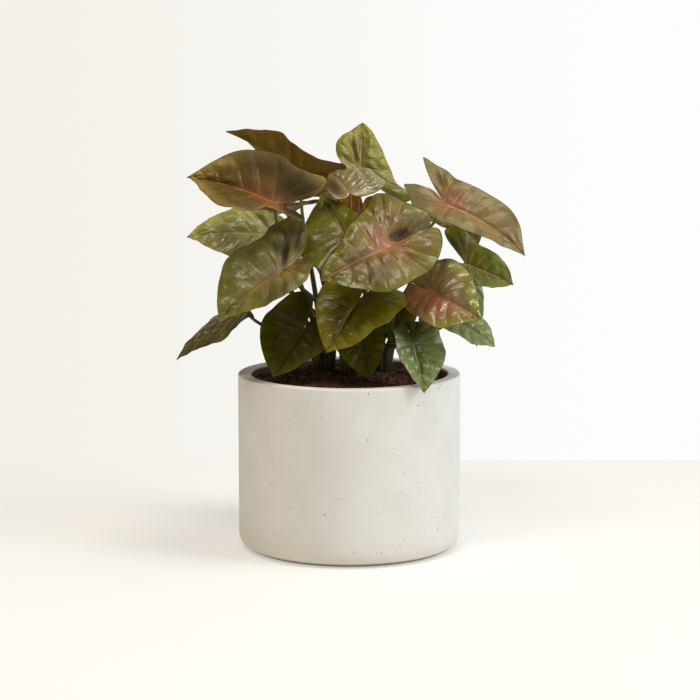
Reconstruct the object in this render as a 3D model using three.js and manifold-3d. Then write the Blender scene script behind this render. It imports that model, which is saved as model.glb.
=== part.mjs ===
// Arrowhead plant (Syngonium) in a plain round pot.
// Millimetres, +Z up. The origin is the centre of the pot's flat underside, -Y is the front.
import * as THREE from 'three';
import { mergeVertices } from 'three/addons/utils/BufferGeometryUtils.js';
import Module from 'manifold-3d';

const wasm = await Module();
wasm.setup();

// ---- driving dimensions ------------------------------------------------------------------
const POT = {
  radius: 90, height: 142, wall: 10.5, floor: 12,
  footRadius: 12, rimRadius: 1.2, sides: 64,
};
const MIX = { edgeHeight: 135.5, crownHeight: 145, rings: 5 };
const CLEARANCE = 0.35; // gap between pieces that touch on the real plant
const WELD = 1e-3; // corners closer than this are one corner
const STEM = { radius: 5, bottom: 112, top: 160, sides: 12 };
const BLADE = { halfThickness: 0.5, stations: 14, across: 2 };
const RIPPLE = { perMidrib: 1.6, sideShift: 0.37 }; // waves along the edge, shift between halves
const PETIOLE = {
  radius: 1.5, sides: 6, steps: 9, rootHeight: 150, rootRise: 3, rootLean: 0.15,
};

// Half outline of an arrowhead blade: [share of the half width, distance along the midrib].
// The distance is in lobe lengths behind the join (negative) and midrib lengths before it.
const HALF_OUTLINE = [
  [0.02, -0.10], [0.06, -0.45], [0.17, -0.82], [0.40, -1.00], [0.68, -0.86],
  [0.89, -0.47], [0.985, -0.05], [0.985, 0.16], [0.89, 0.36], [0.71, 0.56],
  [0.46, 0.75], [0.20, 0.895], [0.055, 0.965], [0, 1],
];
const LOBE_END = 3; // the last outline point of a lobe's inner edge
const SWELL_REACH = 0.22; // how far a swell spreads along the outline
const SINUS_GAP = 0.02; // least distance of a lobe from the midrib line, in half widths
const FAN_SHARE = 0.47; // share of the outline whose veins fan out from the join itself

// A blade lies between its join and its tip. facing is the direction of its upper side:
// degrees round from the front, degrees above level. root is where its stalk starts, in
// degrees round the stem. Pairs are [left half, right half], seen along the midrib from the
// join. These values serve every leaf that gives none of its own.
const LEAF_DEFAULTS = {
  fold: 12, // rise of each half at the midrib, degrees
  cup: -20, // change of that rise out to the edge, degrees
  droop: 25, // bend of the midrib from join to tip, degrees
  lobes: [0.5, 0.5], // lobe lengths, in midrib lengths
  lobeBend: 20, // bend of the lobes behind the join, degrees
  splay: [0, 0], // how far the lobes turn outwards, in lobe lengths
  sinus: [0, 0], // hollow of a lobe's inner edge, in half widths; a bulge where negative
  breadth: [1, 1], // widths of the halves, in half widths
  fullness: 0.05, // extra width half way along the midrib, as a share
  swell: [[], []], // local extra widths of each half: [distance as in HALF_OUTLINE, share]
  wave: 1.5, // height of the ripple at the edge, millimetres
  phase: 0, // start of the ripple, in waves
  reach: [0.45, 30], // stalk's straight pull: share of its span at the root, mm at the join
};

const STEMS = [
  {
    name: 'stem_left', at: [-20, 0],
    leaves: [
      { name: 'far_left', join: [-83, -8, 193], tip: [-139, -16, 154], facing: [-60, 52],
        root: 185, halfWidth: 27, fold: 4, droop: 25, lobes: [0.05, 0.05], phase: 0.4,
        swell: [[[0.02, -0.5]], [[0.02, -0.55]]] },
      { name: 'upper_left', join: [-57, -38, 282], tip: [-127, -46, 303], facing: [5, 45],
        root: 235, halfWidth: 33, fold: 34, cup: -6, droop: 28, lobes: [0.32, 0.5],
        lobeBend: -25, splay: [0, 0.4], fullness: 0.22, phase: 0.8,
        swell: [[[-0.5, -0.3], [0.1, -0.5], [0.55, 0.75], [0.8, 0.65]],
          [[-0.7, -0.2], [0.85, -0.1]]] },
      { name: 'front_left', join: [-51, -60, 232], tip: [-101, -76, 192], facing: [-34, 34],
        root: 335, halfWidth: 40, fold: 24, cup: -18, droop: 28, lobes: [0.4, 0.64],
        lobeBend: -45, splay: [-0.12, 0.12], sinus: [0, -0.1], breadth: [0.87, 1], phase: 0.1,
        swell: [[[-0.4, -0.12], [0.4, 0.12]], [[0, -0.14]]] },
      { name: 'low_left', join: [-36, -38, 183], tip: [-60, -60, 147], facing: [-12, 20],
        root: 285, halfWidth: 32, fold: 8, cup: -12, droop: 12, lobes: [0.6, 0.6],
        lobeBend: -5, breadth: [0.8, 1], phase: 0.6, swell: [[[0.5, -0.15]], []] },
      { name: 'back_low_left', join: [-66, 56, 222], tip: [-106, 104, 190],
        root: 55, facing: [-135, 50], halfWidth: 32, lobes: [0.4, 0.4], phase: 0.7 },
      { name: 'high_left', join: [-37, 40, 299], tip: [-100, 20, 336], facing: [165, 60],
        root: 110, halfWidth: 36, fold: 8, cup: -10, droop: 20, lobes: [0.36, 0.3],
        lobeBend: -5, splay: [0.3, 0],
        swell: [[[0.6, 0.3], [0.3, -0.35], [-0.4, 0.3]], [[0.6, -0.4], [0.85, -0.8]]] },
      { name: 'mid_left', join: [-64, 2, 253], tip: [-130, -14, 253], facing: [-5, 50],
        root: 150, halfWidth: 31, fold: 14, cup: -25, droop: 28, lobes: [0.3, 0.35],
        breadth: [1, 0.9], phase: 0.3, swell: [[[0.75, 0.35]], []] },
    ],
  },
  {
    name: 'stem_front', at: [2, -19],
    leaves: [
      { name: 'foot_centre', join: [8, -42, 178], tip: [16, -60, 145], facing: [-5, 18],
        root: 290, halfWidth: 20, fold: 18, droop: 20, lobes: [0.3, 0.3], lobeBend: -5,
        phase: 0.2 },
      { name: 'over_rim', join: [49, -62, 176], tip: [58, -82, 138], facing: [20, 20],
        root: 335, halfWidth: 22, fold: 20, cup: -14, droop: 18, lobes: [0.46, 0.5],
        splay: [-0.16, -0.22], breadth: [1.05, 0.75], fullness: 0.12, phase: 0.9,
        swell: [[[-1, -0.4], [-0.4, 0.15]], [[-1, -0.4], [-0.4, 0.15]]] },
      { name: 'front_centre', join: [31, -68, 251], tip: [-22, -88, 226], facing: [-8, 36],
        root: 20, halfWidth: 40, fold: 12, droop: 22, lobes: [0.68, 0.7], lobeBend: -12,
        splay: [-0.28, -0.2], breadth: [1.1, 1.14], fullness: 0, phase: 0.35,
        swell: [[[0, -0.15]], [[-0.5, 0.3], [0.05, -0.1], [0.3, -0.24], [0.65, -0.45]]] },
      { name: 'inner_centre', join: [-21, -6, 236], tip: [-37, -32, 235], facing: [0, 50],
        root: 90, halfWidth: 18, fold: 10, droop: 20, phase: 0.5 },
      { name: 'curled_top', join: [0, -22, 289], tip: [-16, 18, 302], facing: [-10, 62],
        root: 150, halfWidth: 32, fold: 14, cup: -30, droop: 30, lobes: [0.08, 0.16],
        lobeBend: 40, breadth: [0.44, 1] },
      { name: 'inner_left', join: [-3, -40, 256], tip: [-21, 0, 287], facing: [-35, 38],
        root: 195, halfWidth: 36, fold: 12, cup: -10, droop: 15, breadth: [1, 0.5],
        phase: 0.15, swell: [[[0.8, -0.2]], [[0.5, -0.2], [0.85, -0.5]]] },
      { name: 'low_centre', join: [8, -58, 209], tip: [-18, -80, 169], facing: [-5, 30],
        root: 245, halfWidth: 37, fold: 12, droop: 20, lobes: [0.6, 0.6], lobeBend: 48,
        splay: [0.1, 0], breadth: [0.88, 0.82], swell: [[[-0.5, 0.15], [0.4, -0.2]], []] },
    ],
  },
  {
    name: 'stem_right', at: [26, 0],
    leaves: [
      { name: 'foot_right', join: [38, -32, 201], tip: [33, -42, 171], facing: [0, 24],
        root: 260, halfWidth: 17, fold: 10, droop: 20, lobes: [0.35, 0.35],
        phase: 0.45 },
      { name: 'front_right', join: [63, -53, 215], tip: [102, -83, 196], facing: [-15, 30],
        root: 300, halfWidth: 30, fold: 14, droop: 20, lobes: [0.5, 0.46],
        splay: [-0.2, -0.3], breadth: [1, 0.95], phase: 0.55,
        swell: [[[-1, -0.5]], [[-1, -0.5], [-0.3, -0.15], [0.15, -0.15], [0.7, 0.2]]] },
      { name: 'low_right', join: [80, -20, 189], tip: [116, -30, 167], facing: [25, 50],
        root: 340, halfWidth: 24, fold: 10, droop: 25, phase: 0.25,
        swell: [[], [[0, -0.35], [0.35, -0.3]]] },
      { name: 'hanging_right', join: [92, 14, 222], tip: [104, 10, 161], facing: [15, 8],
        root: 60, halfWidth: 16, fold: 4, droop: 25, lobes: [0.05, 0.05],
        breadth: [0.85, 1] },
      { name: 'mid_right', join: [93, -6, 231], tip: [132, -8, 214], facing: [-5, 42],
        root: 20, halfWidth: 23, fold: 24, cup: -8, droop: 15, lobes: [0.55, 0.3],
        splay: [0.6, 0.2], fullness: 0.15, phase: 0.05, reach: [0.45, 10],
        swell: [[[0.15, -0.2], [0.45, -0.2]], [[0.1, -0.3]]] },
      { name: 'back_low_right', join: [52, 60, 212], tip: [92, 106, 180],
        root: 115, facing: [135, 50], halfWidth: 32, lobes: [0.4, 0.4], phase: 0.85 },
      { name: 'upper_right', join: [76, -24, 280], tip: [138, -46, 241], facing: [5, 48],
        root: 200, halfWidth: 31, fold: 20, cup: -10, droop: 45, lobes: [0.54, 0.48],
        lobeBend: -42, splay: [0.44, -0.08], sinus: [0.75, -0.3], breadth: [0.75, 0.85],
        fullness: 0.12, phase: 0.65,
        swell: [[[-0.9, -0.4], [0.75, 0.36]], [[-0.9, -0.3], [0.5, -0.15]]] },
    ],
  },
  {
    name: 'stem_back', at: [3, 18],
    leaves: [
      { name: 'back_upper_right', join: [64, 50, 264], tip: [110, 100, 236],
        root: 35, facing: [140, 55], halfWidth: 33, phase: 0.75 },
      { name: 'back_low_centre', join: [4, 74, 232], tip: [2, 126, 188],
        root: 90, facing: [180, 45], halfWidth: 32, lobes: [0.35, 0.35], phase: 0.5 },
      { name: 'back_upper_left', join: [-54, 74, 270], tip: [-106, 112, 238],
        root: 145, facing: [-130, 55], halfWidth: 33 },
      { name: 'back_upper_centre', join: [-12, 78, 290], tip: [-4, 138, 262],
        root: 200, facing: [180, 60], halfWidth: 34, lobes: [0.35, 0.35], phase: 0.3 },
      { name: 'top_centre', join: [9, 34, 302], tip: [11, 66, 341], facing: [-12, 38],
        root: 250, halfWidth: 27, fold: 14, cup: -14, droop: 12, lobes: [0.15, 0.58],
        splay: [0, 0.8], breadth: [0.85, 0.75], phase: 0.6, reach: [0.45, 12],
        swell: [[[-0.1, -0.5], [0.2, -0.2], [0.55, 0.15]],
          [[-0.8, 0.9], [-0.1, 0.25], [0.6, -0.1]]] },
      { name: 'inner_back', join: [11, 52, 274], tip: [7, 58, 243], facing: [185, 10],
        root: 330, halfWidth: 19, fold: 8, droop: 20, lobes: [0.3, 0.3], phase: 0.2 },
    ],
  },
];

// ---- finishes ----------------------------------------------------------------------------
const FINISH = {
  pot: { color: 0xe4e1da, roughness: 0.85, metalness: 0 },
  mix: { color: 0x3a2519, roughness: 1, metalness: 0 },
  blade: { color: 0x69682e, roughness: 0.4, metalness: 0 },
  petiole: { color: 0x7a6a34, roughness: 0.5, metalness: 0 },
  stem: { color: 0x55602f, roughness: 0.6, metalness: 0 },
};

const rad = THREE.MathUtils.degToRad;
const vec = (xyz) => new THREE.Vector3(...xyz);

/** A named mesh with its own material. */
function piece(name, geometry, finish) {
  geometry.computeVertexNormals();
  const mesh = new THREE.Mesh(geometry, new THREE.MeshStandardMaterial(finish));
  mesh.name = name;
  return mesh;
}

/** Weld a geometry to shared corners, drop collapsed triangles and turn its faces outwards. */
function closedBody(geometry) {
  geometry.deleteAttribute('normal');
  geometry.deleteAttribute('uv');
  const body = mergeVertices(geometry, WELD);
  const corner = [0, 1, 2].map(() => new THREE.Vector3());
  const kept = [];
  let volume = 0;
  for (let i = 0; i < body.index.count; i += 3) {
    const triangle = [0, 1, 2].map((k) => body.index.getX(i + k));
    if (new Set(triangle).size === 3) {
      triangle.forEach((v, k) => corner[k].fromBufferAttribute(body.attributes.position, v));
      volume += corner[0].dot(corner[1].clone().cross(corner[2]));
      kept.push(triangle);
    }
  }
  body.setIndex(kept.flatMap((triangle) => (volume < 0 ? triangle.reverse() : triangle)));
  return body;
}

// ---- pot and potting mix -----------------------------------------------------------------

/** Points of a quarter circle in a lathe profile, both ends included. */
function quarter(x, z, radius, fromDegrees, steps) {
  return Array.from({ length: steps + 1 }, (_, i) => {
    const angle = rad(fromDegrees + (90 * i) / steps);
    return new THREE.Vector2(x + radius * Math.cos(angle), z + radius * Math.sin(angle));
  });
}

/** A body turned about the Z axis from a profile of radius and height. */
function turned(profile, sides) {
  return closedBody(new THREE.LatheGeometry(profile, sides).rotateX(Math.PI / 2));
}

/** Straight-sided round pot with a soft foot edge and a narrow rounded rim. */
function potBody() {
  const { radius, height, wall, floor, footRadius, rimRadius, sides } = POT;
  const inner = radius - wall;
  return turned([
    new THREE.Vector2(0, 0),
    ...quarter(radius - footRadius, footRadius, footRadius, -90, 5),
    ...quarter(radius - rimRadius, height - rimRadius, rimRadius, 0, 2),
    ...quarter(inner + rimRadius, height - rimRadius, rimRadius, 90, 2),
    ...quarter(inner - footRadius, floor + footRadius, footRadius, -90, 4).reverse(),
    new THREE.Vector2(0, floor),
  ], sides);
}

/** A closed three.js geometry as a manifold solid. */
function solid(geometry) {
  return new wasm.Manifold(new wasm.Mesh({
    numProp: 3,
    vertProperties: new Float32Array(geometry.attributes.position.array),
    triVerts: new Uint32Array(geometry.index.array),
  }));
}

/** A manifold solid as a three.js geometry. */
function geometryOf(manifold) {
  const { vertProperties, triVerts } = manifold.getMesh();
  const geometry = new THREE.BufferGeometry();
  geometry.setAttribute('position', new THREE.BufferAttribute(vertProperties, 3));
  geometry.setIndex(new THREE.BufferAttribute(triVerts, 1));
  return geometry;
}

/** A stem's upright cylinder, grown by a margin on its side and bottom. */
function stemBody({ at }, margin = 0) {
  const length = STEM.top - STEM.bottom + margin;
  const cylinder = new THREE.CylinderGeometry(
    STEM.radius + margin, STEM.radius + margin, length, STEM.sides);
  cylinder.rotateX(Math.PI / 2);
  cylinder.translate(at[0], at[1], STEM.top - length / 2);
  return closedBody(cylinder);
}

/** The mounded potting mix that fills the pot, with a hole for each stem. */
function mixBody() {
  const outer = POT.radius - POT.wall - CLEARANCE;
  const bottom = POT.floor + CLEARANCE;
  const corner = POT.footRadius + CLEARANCE;
  const mound = Array.from({ length: MIX.rings + 1 }, (_, i) => {
    const share = i / MIX.rings;
    const rise = (MIX.crownHeight - MIX.edgeHeight) * Math.cos((share * Math.PI) / 2);
    return new THREE.Vector2(outer * share, MIX.edgeHeight + rise);
  }).reverse();
  const profile = [
    new THREE.Vector2(0, bottom),
    new THREE.Vector2(outer - corner, bottom),
    new THREE.Vector2(outer, bottom + corner),
    ...mound,
  ];
  let mix = solid(turned(profile, POT.sides));
  for (const stem of STEMS) mix = mix.subtract(solid(stemBody(stem, CLEARANCE)));
  return geometryOf(mix);
}

// ---- leaves ------------------------------------------------------------------------------

/** Unit vector of a facing: degrees round from the front, degrees above level. */
function facingVector([round, above]) {
  const level = Math.cos(rad(above));
  return new THREE.Vector3(
    Math.sin(rad(round)) * level, -Math.cos(rad(round)) * level, Math.sin(rad(above)));
}

/** One half of a blade's outline as a curve of (across, along) points in millimetres. */
function halfOutline(leaf, half, midrib) {
  const width = leaf.halfWidth * leaf.breadth[half];
  const lobe = leaf.lobes[half] * midrib;
  const last = HALF_OUTLINE.length - 1;
  return new THREE.SplineCurve(HALF_OUTLINE.map(([share, distance], i) => {
    const forward = Math.max(0, distance);
    const bulge = 1 + leaf.fullness * 4 * forward * (1 - forward);
    const swell = leaf.swell[half].reduce((sum, [at, extra]) => (
      sum + extra * Math.exp(-(((distance - at) / SWELL_REACH) ** 2))), 1);
    const hollow = i < LOBE_END ? leaf.sinus[half] * width * Math.sin(-Math.PI * distance) : 0;
    const across = share * width * bulge * swell + hollow
      + leaf.splay[half] * lobe * Math.max(0, -distance);
    const least = i < last ? SINUS_GAP * width + Math.min(0, leaf.sinus[half] * width) : 0;
    return new THREE.Vector2(
      Math.max(across, least), distance * (distance < 0 ? lobe : midrib));
  }));
}

/**
 * The curved surface of a blade. Returns a function that places a point, given its distance
 * across (left negative), its distance along the midrib and its height above the blade.
 */
function bladeSurface(leaf) {
  const join = vec(leaf.join);
  const ahead = vec(leaf.tip).sub(join);
  const chord = ahead.length();
  ahead.normalize();
  const up = facingVector(leaf.facing);
  up.addScaledVector(ahead, -up.dot(ahead)).normalize();
  const right = new THREE.Vector3().crossVectors(ahead, up);

  const arc = rad(leaf.droop);
  const midrib = (chord * arc) / 2 / Math.sin(arc / 2);
  const bend = arc / midrib;
  const lobeBend = rad(leaf.lobeBend) / (Math.max(...leaf.lobes) * midrib);
  const fold = rad(leaf.fold);
  const cup = rad(leaf.cup) / leaf.halfWidth;

  const place = (across, along, height) => {
    const side = across < 0 ? -1 : 1;
    const off = Math.abs(across);
    const rate = along >= 0 ? bend : lobeBend;
    const slope = arc / 2 - rate * along;
    const forward = (Math.sin(arc / 2) - Math.sin(slope)) / rate;
    const rise = (Math.cos(slope) - Math.cos(arc / 2)) / rate;
    const lean = fold + cup * off;
    const outward = (Math.sin(lean) - Math.sin(fold)) / cup;
    const ripple = (off / leaf.halfWidth) ** 2
      * Math.sin(2 * Math.PI * (
        (RIPPLE.perMidrib * along) / midrib + leaf.phase + RIPPLE.sideShift * side));
    const lift = (Math.cos(fold) - Math.cos(lean)) / cup + leaf.wave * ripple;
    const normal = up.clone().multiplyScalar(Math.cos(slope))
      .addScaledVector(ahead, -Math.sin(slope));
    return join.clone()
      .addScaledVector(ahead, forward)
      .addScaledVector(up, rise)
      .addScaledVector(right, side * outward - side * Math.sin(lean) * height)
      .addScaledVector(normal, lift + Math.cos(lean) * height);
  };
  return { place, midrib, up };
}

/**
 * A blade as one thin closed body. Each station is a V of two vein lines from the midrib to
 * the outline. The body is thickest at the midrib and runs out to nothing at its edge. The
 * upper and the lower skin have matching triangles, so that they cannot cross.
 */
function bladeBody(leaf) {
  const { place, midrib } = bladeSurface(leaf);
  const outlines = [0, 1].map((half) => halfOutline(leaf, half, midrib));
  const row = 2 * BLADE.across + 1; // corners from the left edge to the right edge
  const skin = row * (BLADE.stations + 1);
  const corners = [];
  const index = [];
  for (let i = 0; i < 2 * skin; i += 1) {
    const v = Math.floor((i % skin) / row) / BLADE.stations;
    const reach = (i % row) / BLADE.across - 1;
    const share = Math.abs(reach);
    const rim = outlines[reach < 0 ? 0 : 1].getPointAt(v);
    const origin = midrib * Math.max(0, (v - FAN_SHARE) / (1 - FAN_SHARE));
    const thickness = v === 0 ? 0 : BLADE.halfThickness * (1 - share ** 2);
    corners.push(place(
      rim.x * reach, origin + (rim.y - origin) * share, i < skin ? thickness : -thickness));
  }
  for (let a = 0; a < skin - row; a += 1) {
    const column = a % row;
    if (column === row - 1) continue;
    const [b, c, d] = [a + 1, a + row, a + row + 1];
    const pair = column < BLADE.across ? [[a, b, d], [a, d, c]] : [[a, b, c], [b, d, c]];
    for (const [p, q, r] of pair) index.push(p, q, r, skin + p, skin + r, skin + q);
  }
  const geometry = new THREE.BufferGeometry().setFromPoints(corners);
  geometry.setIndex(index);
  return closedBody(geometry);
}

/** A leaf's stalk: a tube from its place round the stem up to the underside of the join. */
function petioleBody(leaf, stem, slot) {
  const angle = rad(leaf.root);
  const outward = new THREE.Vector3(Math.cos(angle), Math.sin(angle), 0);
  const root = new THREE.Vector3(...stem.at, PETIOLE.rootHeight + PETIOLE.rootRise * (slot % 3));
  root.addScaledVector(outward, STEM.radius + PETIOLE.radius + CLEARANCE);
  const { up } = bladeSurface(leaf);
  const end = vec(leaf.join).addScaledVector(up, -BLADE.halfThickness - 2 * CLEARANCE);
  const span = root.distanceTo(end);
  const [rootReach, joinReach] = leaf.reach;
  const rise = new THREE.Vector3(0, 0, 1)
    .addScaledVector(outward, PETIOLE.rootLean).normalize();
  const path = new THREE.CubicBezierCurve3(
    root,
    root.clone().addScaledVector(rise, rootReach * span),
    end.clone().addScaledVector(up, -joinReach),
    end,
  );
  const section = new THREE.Shape(Array.from({ length: PETIOLE.sides }, (_, i) => {
    const a = (2 * Math.PI * i) / PETIOLE.sides;
    return new THREE.Vector2(PETIOLE.radius * Math.cos(a), PETIOLE.radius * Math.sin(a));
  }));
  return closedBody(new THREE.ExtrudeGeometry(
    section, { steps: PETIOLE.steps, extrudePath: path, bevelEnabled: false }));
}

// ---- the plant ---------------------------------------------------------------------------
const group = new THREE.Group();
group.add(piece('pot', potBody(), FINISH.pot));
group.add(piece('potting_mix', mixBody(), FINISH.mix));
for (const stem of STEMS) {
  group.add(piece(stem.name, stemBody(stem), FINISH.stem));
  stem.leaves.forEach((given, slot) => {
    const leaf = { ...LEAF_DEFAULTS, ...given };
    group.add(piece(`petiole_${leaf.name}`, petioleBody(leaf, stem, slot), FINISH.petiole));
    group.add(piece(`leaf_${leaf.name}`, bladeBody(leaf), FINISH.blade));
  });
}

export default group;
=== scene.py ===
"""Arrowhead plant in a plain round pot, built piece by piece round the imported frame."""

from __future__ import annotations

import logging
import math
from dataclasses import dataclass, field
from enum import Enum
from typing import Any, Iterable, Sequence

import bpy
import numpy as np
from mathutils import Euler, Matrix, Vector


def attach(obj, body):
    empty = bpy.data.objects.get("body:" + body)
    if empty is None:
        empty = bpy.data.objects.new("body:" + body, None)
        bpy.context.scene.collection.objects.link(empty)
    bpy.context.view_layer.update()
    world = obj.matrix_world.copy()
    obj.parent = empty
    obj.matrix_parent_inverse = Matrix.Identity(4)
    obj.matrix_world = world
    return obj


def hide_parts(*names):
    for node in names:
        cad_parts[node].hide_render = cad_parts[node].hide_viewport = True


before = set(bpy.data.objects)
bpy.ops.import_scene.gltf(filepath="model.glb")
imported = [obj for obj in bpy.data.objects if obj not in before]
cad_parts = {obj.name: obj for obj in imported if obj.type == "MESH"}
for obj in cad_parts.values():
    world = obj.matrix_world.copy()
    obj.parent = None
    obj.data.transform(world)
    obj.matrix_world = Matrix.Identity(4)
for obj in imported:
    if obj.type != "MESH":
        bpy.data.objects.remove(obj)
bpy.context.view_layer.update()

LOG = logging.getLogger("arrowhead_plant")
MM = 0.001
BODY = "root"
SEED = 11
Array = np.ndarray
Triple = tuple[float, float, float]
Pair = tuple[float, float]
Colour = tuple[float, float, float, float]


def srgb(red: float, green: float, blue: float) -> Colour:
    """Linear colour with full alpha, from display values.

    Args:
        red: red, from 0 to 255.
        green: green, from 0 to 255.
        blue: blue, from 0 to 255.

    Returns:
        The colour as a shader takes it.
    """
    linear = []
    for value in (red, green, blue):
        share = value / 255.0
        linear.append(share / 12.92 if share <= 0.04045 else ((share + 0.055) / 1.055) ** 2.4)
    return (linear[0], linear[1], linear[2], 1.0)


def unit(vector: Array) -> Array:
    """The vector at length one."""
    return vector / np.linalg.norm(vector)


def smooth(value: Array | float, low: float, high: float) -> Array:
    """Smooth step from 0 at low to 1 at high.

    Args:
        value: numbers to grade.
        low: where the step starts.
        high: where the step ends.

    Returns:
        The graded numbers.
    """
    share = np.clip((np.asarray(value, float) - low) / (high - low), 0.0, 1.0)
    return share * share * (3.0 - 2.0 * share)


# ---- shader desk -------------------------------------------------------------------------


class Signal:
    """A number that varies over a surface, as a shader socket with Python's operators."""

    def __init__(self, desk: "Desk", socket: bpy.types.NodeSocket) -> None:
        """Keep the desk that owns the socket, and the socket."""
        self.desk = desk
        self.socket = socket

    def __add__(self, other: Any) -> "Signal":
        """Sum."""
        return self.desk.math("ADD", self, other)

    def __radd__(self, other: Any) -> "Signal":
        """Sum with a number in front."""
        return self.desk.math("ADD", other, self)

    def __sub__(self, other: Any) -> "Signal":
        """Difference."""
        return self.desk.math("SUBTRACT", self, other)

    def __rsub__(self, other: Any) -> "Signal":
        """Difference from a number in front."""
        return self.desk.math("SUBTRACT", other, self)

    def __mul__(self, other: Any) -> "Signal":
        """Product."""
        return self.desk.math("MULTIPLY", self, other)

    def __rmul__(self, other: Any) -> "Signal":
        """Product with a number in front."""
        return self.desk.math("MULTIPLY", other, self)

    def __truediv__(self, other: Any) -> "Signal":
        """Quotient."""
        return self.desk.math("DIVIDE", self, other)

    def __rtruediv__(self, other: Any) -> "Signal":
        """Quotient of a number in front."""
        return self.desk.math("DIVIDE", other, self)

    def __pow__(self, other: Any) -> "Signal":
        """Power."""
        return self.desk.math("POWER", self, other)

    def most(self, other: Any) -> "Signal":
        """The larger of the two."""
        return self.desk.math("MAXIMUM", self, other)

    def least(self, other: Any) -> "Signal":
        """The smaller of the two."""
        return self.desk.math("MINIMUM", self, other)

    def size(self) -> "Signal":
        """The number without its sign."""
        return self.desk.math("ABSOLUTE", self)

    def step(self, low: float, high: float, start: float = 0.0, end: float = 1.0) -> "Signal":
        """Smooth step between two values.

        Args:
            low: where the step starts.
            high: where the step ends.
            start: result at and below low.
            end: result at and above high.

        Returns:
            The graded signal.
        """
        ends = {"From Min": low, "From Max": high, "To Min": start, "To Max": end}
        graded = self.desk.node(
            "ShaderNodeMapRange", {"interpolation_type": "SMOOTHSTEP"}, {"Value": self, **ends})
        return Signal(self.desk, graded.outputs["Result"])


class NodeBoard:
    """A node tree, with the one method that adds its nodes."""

    tree: bpy.types.NodeTree

    def node(
        self,
        kind: str,
        settings: dict[str, Any] | None = None,
        sockets: dict[Any, Any] | None = None,
    ) -> bpy.types.Node:
        """Add a node.

        Args:
            kind: Blender's name for the node type.
            settings: the node's own properties, set first.
            sockets: input name or number to a value, a socket or a Signal.

        Returns:
            The new node.
        """
        made = self.tree.nodes.new(kind)
        for key, value in (settings or {}).items():
            setattr(made, key, value)
        for key, value in (sockets or {}).items():
            if isinstance(value, Signal):
                value = value.socket
            if isinstance(value, bpy.types.NodeSocket):
                self.tree.links.new(value, made.inputs[key])
            else:
                made.inputs[key].default_value = value
        return made


class Desk(NodeBoard):
    """One material's node tree, with a method for each kind of step that the finishes take."""

    def __init__(self, name: str) -> None:
        """Start an empty node tree in a new material.

        Args:
            name: the material's name.
        """
        self.material = bpy.data.materials.new(name)
        self.material.use_nodes = True
        self.tree = self.material.node_tree
        self.tree.nodes.clear()

    @classmethod
    def on(cls, tree: bpy.types.NodeTree) -> "Desk":
        """A desk that works on another tree.

        Args:
            tree: the tree, which is emptied first.

        Returns:
            The desk.
        """
        desk = cls.__new__(cls)
        desk.tree = tree
        tree.nodes.clear()
        return desk

    def math(self, operation: str, *values: Any) -> Signal:
        """A Math node on values and signals, as a signal."""
        made = self.node("ShaderNodeMath", {"operation": operation}, dict(enumerate(values)))
        return Signal(self, made.outputs[0])

    def mix(self, factor: Any, first: Any, second: Any, blend: str = "MIX") -> Any:
        """Blend two colours.

        Args:
            factor: 0 for the first colour, 1 for the second.
            first: colour or colour socket.
            second: colour or colour socket.
            blend: Blender's name for the blend.

        Returns:
            The mixed colour's socket.
        """
        made = self.node(
            "ShaderNodeMix",
            {"data_type": "RGBA", "blend_type": blend, "clamp_factor": True},
            {0: factor, 6: first, 7: second})
        return made.outputs[2]

    def place(self) -> Any:
        """Object coordinates, in metres in the frame."""
        return self.node("ShaderNodeTexCoord").outputs["Object"]

    def height(self) -> Signal:
        """Height over the floor, in millimetres."""
        split = self.node("ShaderNodeSeparateXYZ", None, {0: self.place()})
        return Signal(self, split.outputs["Z"]) * (1 / MM)

    def reach(self) -> Signal:
        """Distance from the frame's upright axis.

        Returns:
            The distance in millimetres.
        """
        split = self.node("ShaderNodeSeparateXYZ", None, {0: self.place()})
        east, north = (Signal(self, split.outputs[axis]) * (1 / MM) for axis in "XY")
        return (east * east + north * north) ** 0.5

    def measure(self, name: str) -> Signal:
        """A mesh attribute as a signal."""
        made = self.node("ShaderNodeAttribute", {"attribute_name": name})
        return Signal(self, made.outputs["Fac"])

    def noise(
        self, grain: float, detail: float = 3.0, rough: float = 0.55, drift: float = 0.0,
    ) -> Signal:
        """Cloudy noise of a given grain.

        Args:
            grain: size of a patch, in millimetres.
            detail: octaves of finer noise.
            rough: strength of the finer noise.
            drift: distortion of the patches.

        Returns:
            A signal near 0.5, from 0 to 1.
        """
        made = self.node(
            "ShaderNodeTexNoise", {"noise_dimensions": "3D"},
            {"Vector": self.place(), "Scale": 1.0 / (grain * MM), "Detail": detail,
             "Roughness": rough, "Distortion": drift})
        return Signal(self, made.outputs[0])

    def cells(self, pitch: float, feature: str = "F1") -> bpy.types.Node:
        """A Voronoi node.

        Args:
            pitch: distance between cells, in millimetres.
            feature: Blender's name for what the node measures.

        Returns:
            The node.
        """
        return self.node(
            "ShaderNodeTexVoronoi", {"feature": feature},
            {"Vector": self.place(), "Scale": 1.0 / (pitch * MM)})

    def bump(self, height: Signal, strength: float, depth: float, normal: Any = None) -> Any:
        """A Bump node.

        Args:
            height: relief from 0 to 1.
            strength: share of the relief that shows.
            depth: depth of the relief, in millimetres.
            normal: a bump to add this one to.

        Returns:
            The normal's socket.
        """
        sockets = {"Height": height, "Strength": strength, "Distance": depth * MM}
        if normal is not None:
            sockets["Normal"] = normal
        return self.node("ShaderNodeBump", None, sockets).outputs["Normal"]

    def finish(self, sockets: dict[str, Any]) -> bpy.types.Material:
        """Close the tree with a Principled shader.

        Args:
            sockets: the shader's inputs, by name.

        Returns:
            The finished material.
        """
        shader = self.node("ShaderNodeBsdfPrincipled", None, sockets)
        self.node("ShaderNodeOutputMaterial", None, {"Surface": shader.outputs[0]})
        return self.material


# ---- finishes ----------------------------------------------------------------------------


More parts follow.
